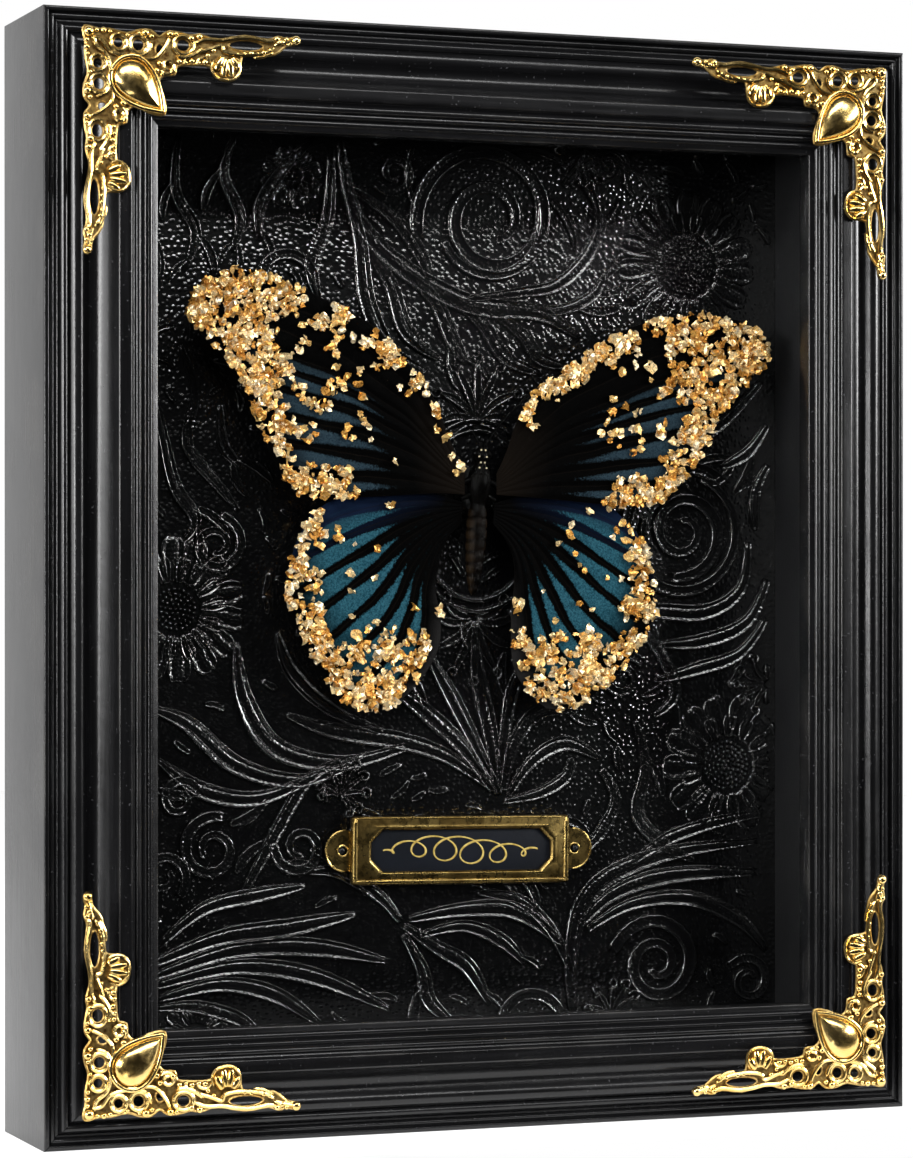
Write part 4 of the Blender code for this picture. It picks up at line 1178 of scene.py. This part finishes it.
# the butterfly: each wing is a sheet stretched between its four edges

wings = {
    # edges run from the root outwards; the margin runs from the leading edge to the trailing edge
    "forewing_left": {
        "lead": [(-1.2, 155.5), (-4.6, 162.5), (-10.6, 175.8), (-17.5, 183.0), (-25.3, 190.6),
                 (-37.6, 196.4), (-48.4, 201.0), (-59.7, 202.6)],
        "margin": [(-59.7, 202.6), (-68.2, 199.2), (-71.0, 194.0), (-69.6, 188.6), (-60.0, 179.6),
                   (-54.8, 169.0), (-50.6, 159.0), (-43.9, 149.6)],
        "trail": [(-1.2, 150.4), (-10.0, 150.6), (-31.0, 149.4), (-43.9, 149.6)],
        "depth": 15.0, "lift": 1.9, "veins": 9, "flakes": 760,
    },
    "forewing_right": {
        "lead": [(7.0, 155.5), (9.6, 161.0), (13.0, 169.8), (19.1, 177.6), (28.0, 183.2),
                 (35.2, 188.2), (47.5, 193.4), (60.8, 195.2)],
        "margin": [(60.8, 195.2), (72.5, 193.0), (78.6, 186.6), (72.6, 178.6), (65.4, 171.4),
                   (62.6, 165.0), (58.6, 157.6), (49.6, 148.8)],
        "trail": [(7.0, 150.4), (20.0, 149.6), (38.0, 148.2), (49.6, 148.8)],
        "depth": 15.0, "lift": 1.9, "veins": 9, "flakes": 740,
    },
    "hindwing_left": {
        "lead": [(-1.2, 148.6), (-14.0, 151.6), (-30.0, 150.6), (-39.6, 145.6)],
        "margin": [(-39.6, 145.6), (-43.6, 138.0), (-45.8, 130.0), (-45.2, 122.6), (-41.6, 115.6),
                   (-38.4, 109.6), (-32.0, 102.0), (-24.5, 98.6), (-17.5, 100.6)],
        "trail": [(-1.6, 143.4), (-6.2, 138.0), (-8.2, 128.4), (-6.8, 120.6), (-7.6, 113.0),
                  (-12.0, 105.8), (-17.5, 100.6)],
        "depth": 16.3, "lift": 0.0, "veins": 9, "flakes": 390,
    },
    "hindwing_right": {
        "lead": [(7.0, 148.4), (20.0, 151.4), (34.0, 149.6), (41.6, 144.6)],
        "margin": [(41.6, 144.6), (46.2, 138.6), (49.0, 130.0), (48.8, 121.6), (45.0, 114.0),
                   (39.5, 107.8), (33.4, 102.2), (26.5, 98.6), (20.6, 98.8)],
        "trail": [(6.6, 143.4), (10.8, 138.0), (12.2, 131.6), (11.4, 121.6), (11.8, 110.0),
                  (15.6, 103.0), (20.6, 98.8)],
        "depth": 16.3, "lift": 0.0, "veins": 9, "flakes": 370,
    },
}


def evenly(points, count):
    # the same curve, with its points spaced evenly
    path = smoothPath(points, 12)
    reach = [0.0]
    for first, second in zip(path, path[1:]):
        reach.append(reach[-1] + (second - first).length)
    made = []
    for index in range(count + 1):
        want = reach[-1] * index / count
        step = max(0, min(len(path) - 2, next((i for i, r in enumerate(reach) if r >= want), 1) - 1))
        part = (want - reach[step]) / max(reach[step + 1] - reach[step], 1e-9)
        made.append(path[step].lerp(path[step + 1], min(max(part, 0), 1)))
    return made


def wingScales(name, hind, veins):
    # black velvet scales; slate rays on the forewing, deep teal rays on the hindwing
    made, tree = newTree(name)
    across = node(tree, "SeparateXYZ", None, {0: node(tree, "UVMap", {"uv_map": "UVMap"}).outputs[0]})
    u, v = across.outputs["X"], across.outputs["Y"]
    even = objectCoords(tree)
    dust = cloud(tree, even, 2600.0, 3.0, 0.7)
    patch = cloud(tree, even, 120.0, 3.0, 0.6)
    wobble = sums(tree, "MULTIPLY_ADD", sums(tree, "SUBTRACT", patch, 0.5), 0.02, u)
    comb = sums(tree, "ABSOLUTE", sums(tree, "SINE", sums(tree, "MULTIPLY", wobble, math.pi * veins)))
    edge = sums(tree, "MULTIPLY_ADD", sums(tree, "SUBTRACT", dust, 0.5), 0.5, comb)
    black = ramp(tree, dust, [(0.3, (0.0004, 0.0004, 0.0004)), (0.7, (0.0012, 0.0011, 0.0011))])
    if hind:
        # each ray starts as a point and widens outwards
        point = span(tree, v, 0.34, 0.72, 1.05, 0.42)
        ends = span(tree, v, 0.78, 0.94, 1.0, 0.0)
        aside = sums(tree, "MULTIPLY", span(tree, u, 0.84, 0.92, 1.0, 0.0),
                     span(tree, u, 0.08, 0.2, 0.0, 1.0))
        ray = span(tree, sums(tree, "SUBTRACT", edge, point), 0.0, 0.16, 0.0, 1.0)
        ray = sums(tree, "MULTIPLY", ray, sums(tree, "MULTIPLY", ends, aside))
        tone = blendColour(tree, span(tree, dust, 0.35, 0.65, 0.0, 1.0), (0.005, 0.034, 0.052),
                           (0.030, 0.108, 0.146))
        upper = sums(tree, "MULTIPLY", span(tree, u, 0.02, 0.30, 1.0, 0.0),
                     span(tree, v, 0.1, 0.6, 0.0, 1.0))
        colour = blendColour(tree, sums(tree, "MULTIPLY", upper, 0.75), black, (0.008, 0.017, 0.046))
        colour = blendColour(tree, ray, colour, tone)
        bare = sums(tree, "MULTIPLY", span(tree, u, 0.90, 0.99, 0.0, 1.0), span(tree, v, 0.3, 0.6, 0.0, 1.0))
        colour = blendColour(tree, sums(tree, "MULTIPLY", bare, 0.7), colour, (0.020, 0.019, 0.019))
    else:
        point = span(tree, v, 0.38, 0.80, 1.05, 0.45)
        ends = span(tree, v, 0.80, 0.94, 1.0, 0.0)
        lower = span(tree, u, 0.30, 0.45, 0.0, 1.0)
        ray = span(tree, sums(tree, "SUBTRACT", edge, point), 0.0, 0.2, 0.0, 1.0)
        ray = sums(tree, "MULTIPLY", ray, sums(tree, "MULTIPLY", ends, lower))
        tone = blendColour(tree, span(tree, dust, 0.35, 0.65, 0.0, 1.0), (0.010, 0.021, 0.032),
                           (0.030, 0.052, 0.068))
        base = blendColour(tree, span(tree, v, 0.05, 0.30, 0.5, 0.0), black, (0.010, 0.007, 0.005))
        colour = blendColour(tree, sums(tree, "MULTIPLY", ray, 0.9), base, tone)
    ribs = sums(tree, "SUBTRACT", 1.0, comb)
    shine = sums(tree, "MULTIPLY", span(tree, ribs, 0.86, 1.0, 0.0, 1.0), 0.5)
    colour = blendColour(tree, shine, colour, (0.006, 0.0045, 0.0035))
    relief = bump(tree, comb, 0.25, 0.0005)
    relief = bump(tree, dust, 0.45, 0.00025, relief)
    surface(tree, {"Base Color": colour, "Roughness": span(tree, dust, 0.3, 0.7, 0.45, 0.7),
                   "Normal": relief, "Specular IOR Level": 0.01})
    return made


def stretchWing(form):
    # a grid fitted to the wing's edges; its texture places run lead to trail and root to margin
    across, out = 45, 60
    lead, trail = evenly(form["lead"], out), evenly(form["trail"], out)
    margin = evenly(form["margin"], across)
    root = [lead[0].lerp(trail[0], index / across) for index in range(across + 1)]
    work = bmesh.new()
    place = work.loops.layers.uv.new("UVMap")
    bmesh.ops.create_grid(work, x_segments=across, y_segments=out, size=1.0)
    swing = math.tan(math.radians(form["lift"]))
    for vert in work.verts:
        i, j = round((vert.co.x + 1) / 2 * across), round((vert.co.y + 1) / 2 * out)
        u, v = i / across, j / out
        at = (lead[j] * (1 - u) + trail[j] * u + root[i] * (1 - v) + margin[i] * v
              - (lead[0] * (1 - u) * (1 - v) + trail[0] * u * (1 - v)
                 + lead[-1] * (1 - u) * v + trail[-1] * u * v))
        for loop in vert.link_loops:
            loop[place].uv = (u, v)
        pleat = 0.24 * abs(math.sin(math.pi * form["veins"] * u)) * min(1.0, 2.5 * v)
        droop = 0.5 * v * v * (2 * u - 1) ** 2
        depth = form["depth"] - abs(at.x - lead[0].x) * swing - pleat + droop
        vert.co = spot(at.x, depth, at.y)
    bmesh.ops.remove_doubles(work, verts=work.verts, dist=1e-6)
    bmesh.ops.recalc_face_normals(work, faces=work.faces)
    if sum(face.normal.y for face in work.faces) > 0:
        bmesh.ops.reverse_faces(work, faces=work.faces)
    return work


leaf = {
    "seed": 5,
    "size": (0.6, 1.4),
    "crumple": 0.5,
    "tones": [(0.95, 0.74, 0.42), (0.91, 0.61, 0.24), (0.95, 0.82, 0.58), (0.73, 0.37, 0.08),
              (0.50, 0.21, 0.03)],
    "shares": (5, 4, 3, 3, 2),
}


def goldLeaf(name):
    made, tree = newTree(name)
    tint = node(tree, "Attribute", {"attribute_name": "tint"}).outputs["Color"]
    grain = cloud(tree, objectCoords(tree), 1900.0, 3.0, 0.6)
    colour = blendColour(tree, span(tree, grain, 0.35, 0.7, 0.0, 0.5), tint, (0.86, 0.50, 0.13))
    surface(tree, {"Base Color": colour, "Metallic": 0.62,
                   "Roughness": span(tree, grain, 0.3, 0.7, 0.20, 0.38),
                   "Normal": bump(tree, grain, 0.4, 0.0003)})
    return made


def foilFlake(picked):
    # one crumpled scrap of leaf, thickened and closed
    flake = bmesh.new()
    bmesh.ops.create_grid(flake, x_segments=3, y_segments=3, size=1.0)
    stretch = picked.uniform(0.55, 1.0)
    for vert in flake.verts:
        corner = abs(vert.co.x) > 0.9 and abs(vert.co.y) > 0.9
        pull = picked.uniform(0.45, 0.85) if corner else picked.uniform(0.75, 1.2)
        vert.co = Vector((vert.co.x * pull + picked.uniform(-0.14, 0.14),
                          (vert.co.y * pull + picked.uniform(-0.14, 0.14)) * stretch,
                          picked.uniform(-leaf["crumple"], leaf["crumple"])))
    bmesh.ops.recalc_face_normals(flake, faces=flake.faces)
    bmesh.ops.solidify(flake, geom=flake.faces[:], thickness=0.07)
    return flake


def leafAmount(name, u, v, z):
    # how thickly the leaf lies on each part of a wing, 0 to 1
    if "forewing" in name:
        tip = min(1.0, max(0.0, (v - 0.60) * 6)) * min(1.0, max(0.0, (0.66 - u) * 5))
        costa = min(0.84, 1.3 * max(0.0, 1 - u / 0.19)) if v > 0.14 else 0.3 * max(0.0, 1 - u / 0.2)
        band = min(1.0, max(0.0, (v - 0.78) * 9))
        loose = 0.13 if v > 0.45 and u < 0.75 else 0.004
        foot = 0.9 if u > 0.84 and 0.62 < v else 0.0
        return max(tip, costa, band, loose, foot)
    low = min(1.0, max(0.0, (119 - z) / 5.0))
    band = min(1.0, max(0.0, (v - 0.80) * 9))
    inner = 0.6 * min(1.0, max(0.0, (u - 0.88) * 14)) if v > 0.40 else 0.0
    bare = 0.25 if u > 0.93 and v > 0.6 else 1.0
    return max(low * bare, band * bare, inner, 0.05 if v > 0.38 else 0.0)


def layLeaf(name, wing, form, material, picked):
    place = wing.loops.layers.uv.active
    faces = list(wing.faces)
    weights = []
    for face in faces:
        uv = face.loops[0][place].uv
        centre = face.calc_center_median() / mm
        clump = noise.noise(Vector((centre.x * 0.16, 0, centre.z * 0.16)) + Vector((0, form["flakes"], 0)))
        amount = leafAmount(name, uv.x, uv.y, centre.z)
        amount *= 1.0 if amount > 0.85 else max(0.0, min(1.0, 0.5 + 2.6 * clump)) * 1.5
        weights.append(amount * face.calc_area())
    work = bmesh.new()
    shade = work.verts.layers.float_color.new("tint")
    bands = []
    for face in picked.choices(faces, weights, k=form["flakes"]):
        corners = [loop.vert.co for loop in face.loops]
        share = [picked.random() + 0.05 for corner in corners]
        at = sum((corner * part for corner, part in zip(corners, share)), Vector()) / sum(share)
        size = picked.uniform(*leaf["size"]) * (1.35 if picked.random() < 0.12 else 1.0)
        lift = picked.uniform(0.25, 1.0)
        tilt = Matrix.Rotation(picked.uniform(-0.65, 0.65), 4, "X") @ Matrix.Rotation(
            picked.uniform(-0.65, 0.65), 4, "Z")
        lay = Matrix(((1, 0, 0, 0), (0, 0, -1, 0), (0, 1, 0, 0), (0, 0, 0, 1)))
        turned = (Matrix.Translation(at + Vector((0, -lift * mm, 0))) @ tilt @ lay
                  @ Matrix.Rotation(picked.uniform(0, 6.28), 4, "Z") @ Matrix.Scale(size * mm, 4))
        before = len(work.verts)
        join(work, foilFlake(picked), turned)
        bands.append((before, len(work.verts), picked.choices(leaf["tones"], leaf["shares"])[0]))
    work.verts.ensure_lookup_table()
    for first, last, tone in bands:
        for index in range(first, last):
            work.verts[index][shade] = (*tone, 1.0)
    placePiece("gold_leaf_" + name, work, [material], ["gilding_" + name], 25)


def butterflyWings():
    picked = random.Random(leaf["seed"])
    gold = goldLeaf("crumpled_leaf")
    for name, form in wings.items():
        hind = "hind" in name
        sheet = stretchWing(form)
        layLeaf(name, sheet, form, gold, picked)
        bmesh.ops.solidify(sheet, geom=sheet.faces[:], thickness=0.16 * mm)
        scales = wingScales("scales_" + name, hind, form["veins"])
        placePiece("wing_" + name, sheet, [scales], [name], 60)
    print("wings and gold leaf done")


insect = {
    "top": (3.4, 162.0), "tip": (1.2, 126.3), "depth": 16.0,
    # distance down from the head's top, radius
    "profile": [(0.0, 0.3), (0.5, 1.2), (1.4, 1.85), (2.4, 2.0), (3.4, 1.75), (4.1, 1.35), (4.6, 1.6),
                (5.6, 2.3), (7.2, 2.75), (9.0, 2.8), (10.8, 2.7), (12.4, 2.35), (13.4, 1.9), (14.2, 1.7),
                (15.0, 2.0), (16.4, 2.3), (17.1, 2.1), (17.5, 2.4), (19.0, 2.5), (19.8, 2.25), (20.2, 2.5),
                (21.8, 2.5), (22.6, 2.25), (23.0, 2.45), (24.6, 2.4), (25.4, 2.1), (25.8, 2.3), (27.4, 2.2),
                (28.2, 1.9), (28.6, 2.1), (30.2, 1.9), (31.0, 1.6), (31.4, 1.75), (33.0, 1.4), (33.8, 1.1),
                (34.2, 1.2), (35.2, 0.8), (35.8, 0.2)],
    # wing roots and palps, each on both sides: radius, steps, sides, points (out, forward, down)
    "limbs": [
        (0.8, 5, 8, [(1.6, 0.6, 8.0), (3.4, 0.4, 8.6), (4.6, 0.2, 9.4)]),
        (0.7, 5, 8, [(1.6, 0.6, 11.6), (3.2, 0.2, 12.2), (4.4, -0.2, 12.8)]),
        (0.4, 4, 7, [(0.5, 1.0, 0.8), (0.7, 1.2, -0.4), (0.5, 1.3, -1.0)]),
    ],
    # pale dots on the head and collar: out, down
    "dots": ((0.55, 0.9), (0.95, 2.5), (0.5, 3.9), (0.9, 5.2)),
    # a feeler's foot (out, height, depth) and how far it runs out, up and forward
    "feelerFoot": (0.8, 162.4, 15.0),
    "feelerRun": (8.5, 14.0, 1.5),
    "hairs": 240,
    "seed": 9,
}


def bodyFinish(name):
    made, tree = newTree(name)
    even = objectCoords(tree)
    parts = node(tree, "SeparateXYZ", None, {0: even})
    fuzz = cloud(tree, objectCoords(tree, (1, 1, 0.3)), 1500.0, 4.0, 0.7)
    patch = cloud(tree, even, 330.0, 3.0, 0.6)
    height = parts.outputs["Z"]
    tail = span(tree, height, 0.1485, 0.1440, 0.0, 1.0)
    dark = ramp(tree, fuzz, [(0.3, (0.0003, 0.0003, 0.0003)), (0.7, (0.0012, 0.001, 0.0009))])
    brown = ramp(tree, patch, [(0.42, (0.0006, 0.0004, 0.0003)), (0.72, (0.004, 0.0022, 0.0012))])
    colour = blendColour(tree, tail, dark, brown)
    stripe = sums(tree, "ABSOLUTE", sums(tree, "SUBTRACT", parts.outputs["X"], 0.0023))
    pale = sums(tree, "MULTIPLY", span(tree, stripe, 0.0012, 0.0019, 0.0, 1.0), tail)
    bands = sums(tree, "ABSOLUTE", sums(tree, "SINE", sums(tree, "MULTIPLY", height, 1150.0)))
    pale = sums(tree, "MULTIPLY", pale, span(tree, bands, 0.3, 0.8, 0.15, 0.8))
    colour = blendColour(tree, pale, colour, (0.015, 0.009, 0.0045))
    surface(tree, {"Base Color": colour, "Roughness": span(tree, patch, 0.3, 0.7, 0.24, 0.4),
                   "Normal": bump(tree, fuzz, 0.7, 0.0004), "Specular IOR Level": 0.045})
    return made


def creamDots(name):
    made, tree = newTree(name)
    grain = cloud(tree, objectCoords(tree), 2200.0, 3.0, 0.6)
    surface(tree, {"Base Color": ramp(tree, grain, [(0.3, (0.42, 0.34, 0.20)), (0.7, (0.66, 0.56, 0.38))]),
                   "Roughness": span(tree, grain, 0.3, 0.7, 0.4, 0.6)})
    return made


def insectTrunk():
    work = bmesh.new()
    verts = [work.verts.new((radius, 0, at)) for at, radius in insect["profile"]]
    edges = [work.edges.new(pair) for pair in zip(verts, verts[1:])]
    bmesh.ops.spin(work, geom=verts + edges, cent=(0, 0, 0), axis=(0, 0, 1), angle=2 * math.pi,
                   steps=28, use_merge=True)
    bmesh.ops.holes_fill(work, edges=[edge for edge in work.edges if edge.is_boundary], sides=0)
    bmesh.ops.recalc_face_normals(work, faces=work.faces)
    return work


def insectHair(picked):
    # one hair and its place on the trunk, longer on the thorax
    at = picked.uniform(0.8, 33)
    angle = picked.uniform(-0.3, math.pi + 0.3)
    radius = next(r for a, r in insect["profile"] if a >= at) * 0.92
    root = Vector((math.cos(angle), math.sin(angle), 0)) * radius + Vector((0, 0, at))
    lean = Vector((math.cos(angle), math.sin(angle), picked.uniform(0.6, 1.6))).normalized()
    hair = bmesh.new()
    long = picked.uniform(0.8, 1.9) if at < 15 else picked.uniform(0.4, 0.9)
    bmesh.ops.create_cone(hair, cap_ends=True, segments=3, radius1=0.07, radius2=0.012, depth=long)
    aim = lean.to_track_quat("Z", "Y").to_matrix().to_4x4()
    return hair, Matrix.Translation(root + lean * long / 2) @ aim


def feelers():
    # slightly knotted along their length and clubbed at the end
    finish = bodyFinish("feeler_finish")
    knots = [(index / 64, (1.0 if index % 2 else 0.78) * (1 + 1.3 * max(0.0, index / 64 - 0.86) / 0.14))
             for index in range(65)]
    footOut, footHeight, footDepth = insect["feelerFoot"]
    out, up, forward = insect["feelerRun"]
    for hand, name in ((-1, "left"), (1, "right")):
        path = []
        for index in range(9):
            t = index / 8
            path.append((insect["top"][0] + hand * (footOut + out * t + 2 * t * t),
                         footHeight + up * t - 2 * t * t, forward * t - footDepth))
        work = bmesh.new()
        join(work, bar(path, 0.2, 8, 8, tuple(knots)), standUp(0))
        placePiece("feeler_" + name, work, [finish], ["antenna_" + name], 60)


def butterflyBody():
    picked = random.Random(insect["seed"])
    top, tip = Vector(insect["top"]), Vector(insect["tip"])
    down = (tip - top).normalized()
    side = Vector((-down.y, down.x))
    # the insect is made head up along its own axis, then laid along the line from top to tip
    place = Matrix(((side.x * mm, 0, down.x * mm, 0), (0, -mm, 0, 0),
                    (side.y * mm, 0, down.y * mm, 0), (0, 0, 0, 1)))
    place.translation = spot(top.x, insect["depth"], top.y)
    work = bmesh.new()
    join(work, insectTrunk(), place)
    for hand in (-1, 1):
        join(work, bead(hand * 1.5, 0.9, 1.9, 0.95, 1.1, 3), place)
        for radius, steps, sides, points in insect["limbs"]:
            join(work, bar([(hand * x, y, z) for x, y, z in points], radius, steps, sides), place)
    saddle = bmesh.new()
    bmesh.ops.create_uvsphere(saddle, u_segments=24, v_segments=12, radius=1.0)
    bmesh.ops.transform(saddle, matrix=Matrix.Translation((0, 2.0, 8.6))
                        @ Matrix.Diagonal((1.6, 1.2, 2.6, 1)), verts=saddle.verts)
    join(work, saddle, place)
    for _ in range(insect["hairs"]):
        hair, stand = insectHair(picked)
        join(work, hair, place @ stand)
    for across, at in insect["dots"]:
        for hand in (-1, 1):
            join(work, bead(hand * across, 1.75 if at < 4 else 2.1, at, 0.24, 1.0, 2), place, 1)
    placePiece("insect_body", work, [bodyFinish("insect_fur"), creamDots("cream_dots")],
               ["butterfly_body"], 50)
    feelers()
    foam = mattBlack("black_foam_pad", (0.008, 0.008, 0.008), (0.02, 0.02, 0.02), 0.85, 900, 0.8)
    roundedBox("foam_pad", "specimen_block", foam, 0.3)
    print("butterfly body done")


def studioFloor():
    # pale floor, a little lit from within so that it stays even
    made, tree = newTree("studio_floor")
    mottle = cloud(tree, objectCoords(tree), 3.0, 2.0)
    surface(tree, {"Base Color": ramp(tree, mottle, [(0.3, (0.86, 0.86, 0.86)),
                                                     (0.7, (0.88, 0.88, 0.88))]),
                   "Roughness": 0.9, "Emission Color": (1, 1, 1, 1),
                   "Emission Strength": lighting["floorGlow"]})
    half = lighting["floorHalf"]
    work = bmesh.new()
    bmesh.ops.create_grid(work, x_segments=8, y_segments=8, size=half)
    bmesh.ops.translate(work, verts=work.verts, vec=(0, half - lighting["floorFront"], 0))
    mesh = bpy.data.meshes.new("floor")
    work.to_mesh(mesh)
    work.free()
    mesh.materials.append(made)
    floor = bpy.data.objects.new("floor", mesh)
    bpy.context.scene.collection.objects.link(floor)


def studioBackdrop():
    # white wherever the camera looks; it lights the frame from behind and leaves the front dark
    world = bpy.data.worlds.new("studio")
    bpy.context.scene.world = world
    world.use_nodes = True
    tree = world.node_tree
    tree.nodes.clear()
    where = node(tree, "TexCoord").outputs["Generated"]
    parts = node(tree, "SeparateXYZ", None, {0: where})
    behind = span(tree, parts.outputs["Y"], -0.05, 0.35, lighting["front"], lighting["backdrop"])
    seen = node(tree, "LightPath").outputs["Is Camera Ray"]
    strength = node(tree, "Mix", {"data_type": "FLOAT"}, {0: seen, 2: behind, 3: 1.0}).outputs[0]
    glow = node(tree, "Background", None, {"Color": (1, 1, 1, 1), "Strength": strength})
    node(tree, "OutputWorld", None, {"Surface": glow.outputs[0]})


def bearing(turn, rise):
    # the direction from the frame to a place turned round it and raised, in degrees
    a, e = math.radians(turn), math.radians(rise)
    return Vector((math.sin(a) * math.cos(e), -math.cos(a) * math.cos(e), math.sin(e)))


def softBoxes():
    for name, (turn, rise, distance, width, height, power) in lighting["boxes"].items():
        lamp = bpy.data.lights.new(name, "AREA")
        lamp.shape = "RECTANGLE"
        lamp.size, lamp.size_y = width, height
        lamp.energy = power
        lampObject = bpy.data.objects.new(name, lamp)
        bpy.context.scene.collection.objects.link(lampObject)
        away = bearing(turn, rise)
        lampObject.location = Vector((0, 0, centreZ * mm)) + away * distance
        lampObject.rotation_euler = (-away).to_track_quat("-Z", "Z").to_euler()


def studioCamera():
    lens = bpy.data.cameras.new("camera")
    lens.lens = viewpoint["lens"]
    lens.sensor_width = 36.0
    lens.shift_x, lens.shift_y = viewpoint["shift"]
    camera = bpy.data.objects.new("camera", lens)
    bpy.context.scene.collection.objects.link(camera)
    camera.location = spot(0, 0, centreZ) + bearing(*viewpoint["place"]) * viewpoint["distance"]
    heading, tilt = (math.radians(value) for value in viewpoint["aim"])
    camera.rotation_euler = (math.pi / 2 + tilt, 0.0, heading)
    bpy.context.scene.camera = camera


def studio():
    bpy.context.scene.view_settings.view_transform = "Standard"
    studioFloor()
    studioBackdrop()
    softBoxes()
    studioCamera()
    print("studio done")


viewpoint = {
    "place": (-21.43, -0.25),
    "aim": (-20.93, -0.23),
    "distance": 0.9071,
    "lens": 119.2,
    "shift": (-0.002, 0.028),
}
lighting = {
    "floorGlow": 0.45,
    "floorFront": 0.045,
    "floorHalf": 0.8,
    "front": 0.008,
    "backdrop": 1.0,
    # turn and rise round the frame in degrees, distance, width and height in metres, watts
    "boxes": {
        "box_left": (-60, 10, 1.3, 0.16, 0.9, 14),
        "box_right": (66, 14, 1.3, 0.22, 0.9, 20),
        "rim_left": (-84, 6, 1.3, 0.25, 1.0, 5),
        "box_top": (-8, 42, 1.2, 1.2, 0.22, 10),
        "box_fill": (38, 32, 1.3, 0.3, 0.2, 1.6),
        "box_low": (-30, -40, 1.2, 0.6, 0.12, 1),
    },
}

frameRails()
caseLayers()
pane()
backFittings()
cornerOrnaments()
cardHolder()
leather()
butterflyWings()
butterflyBody()

studio()
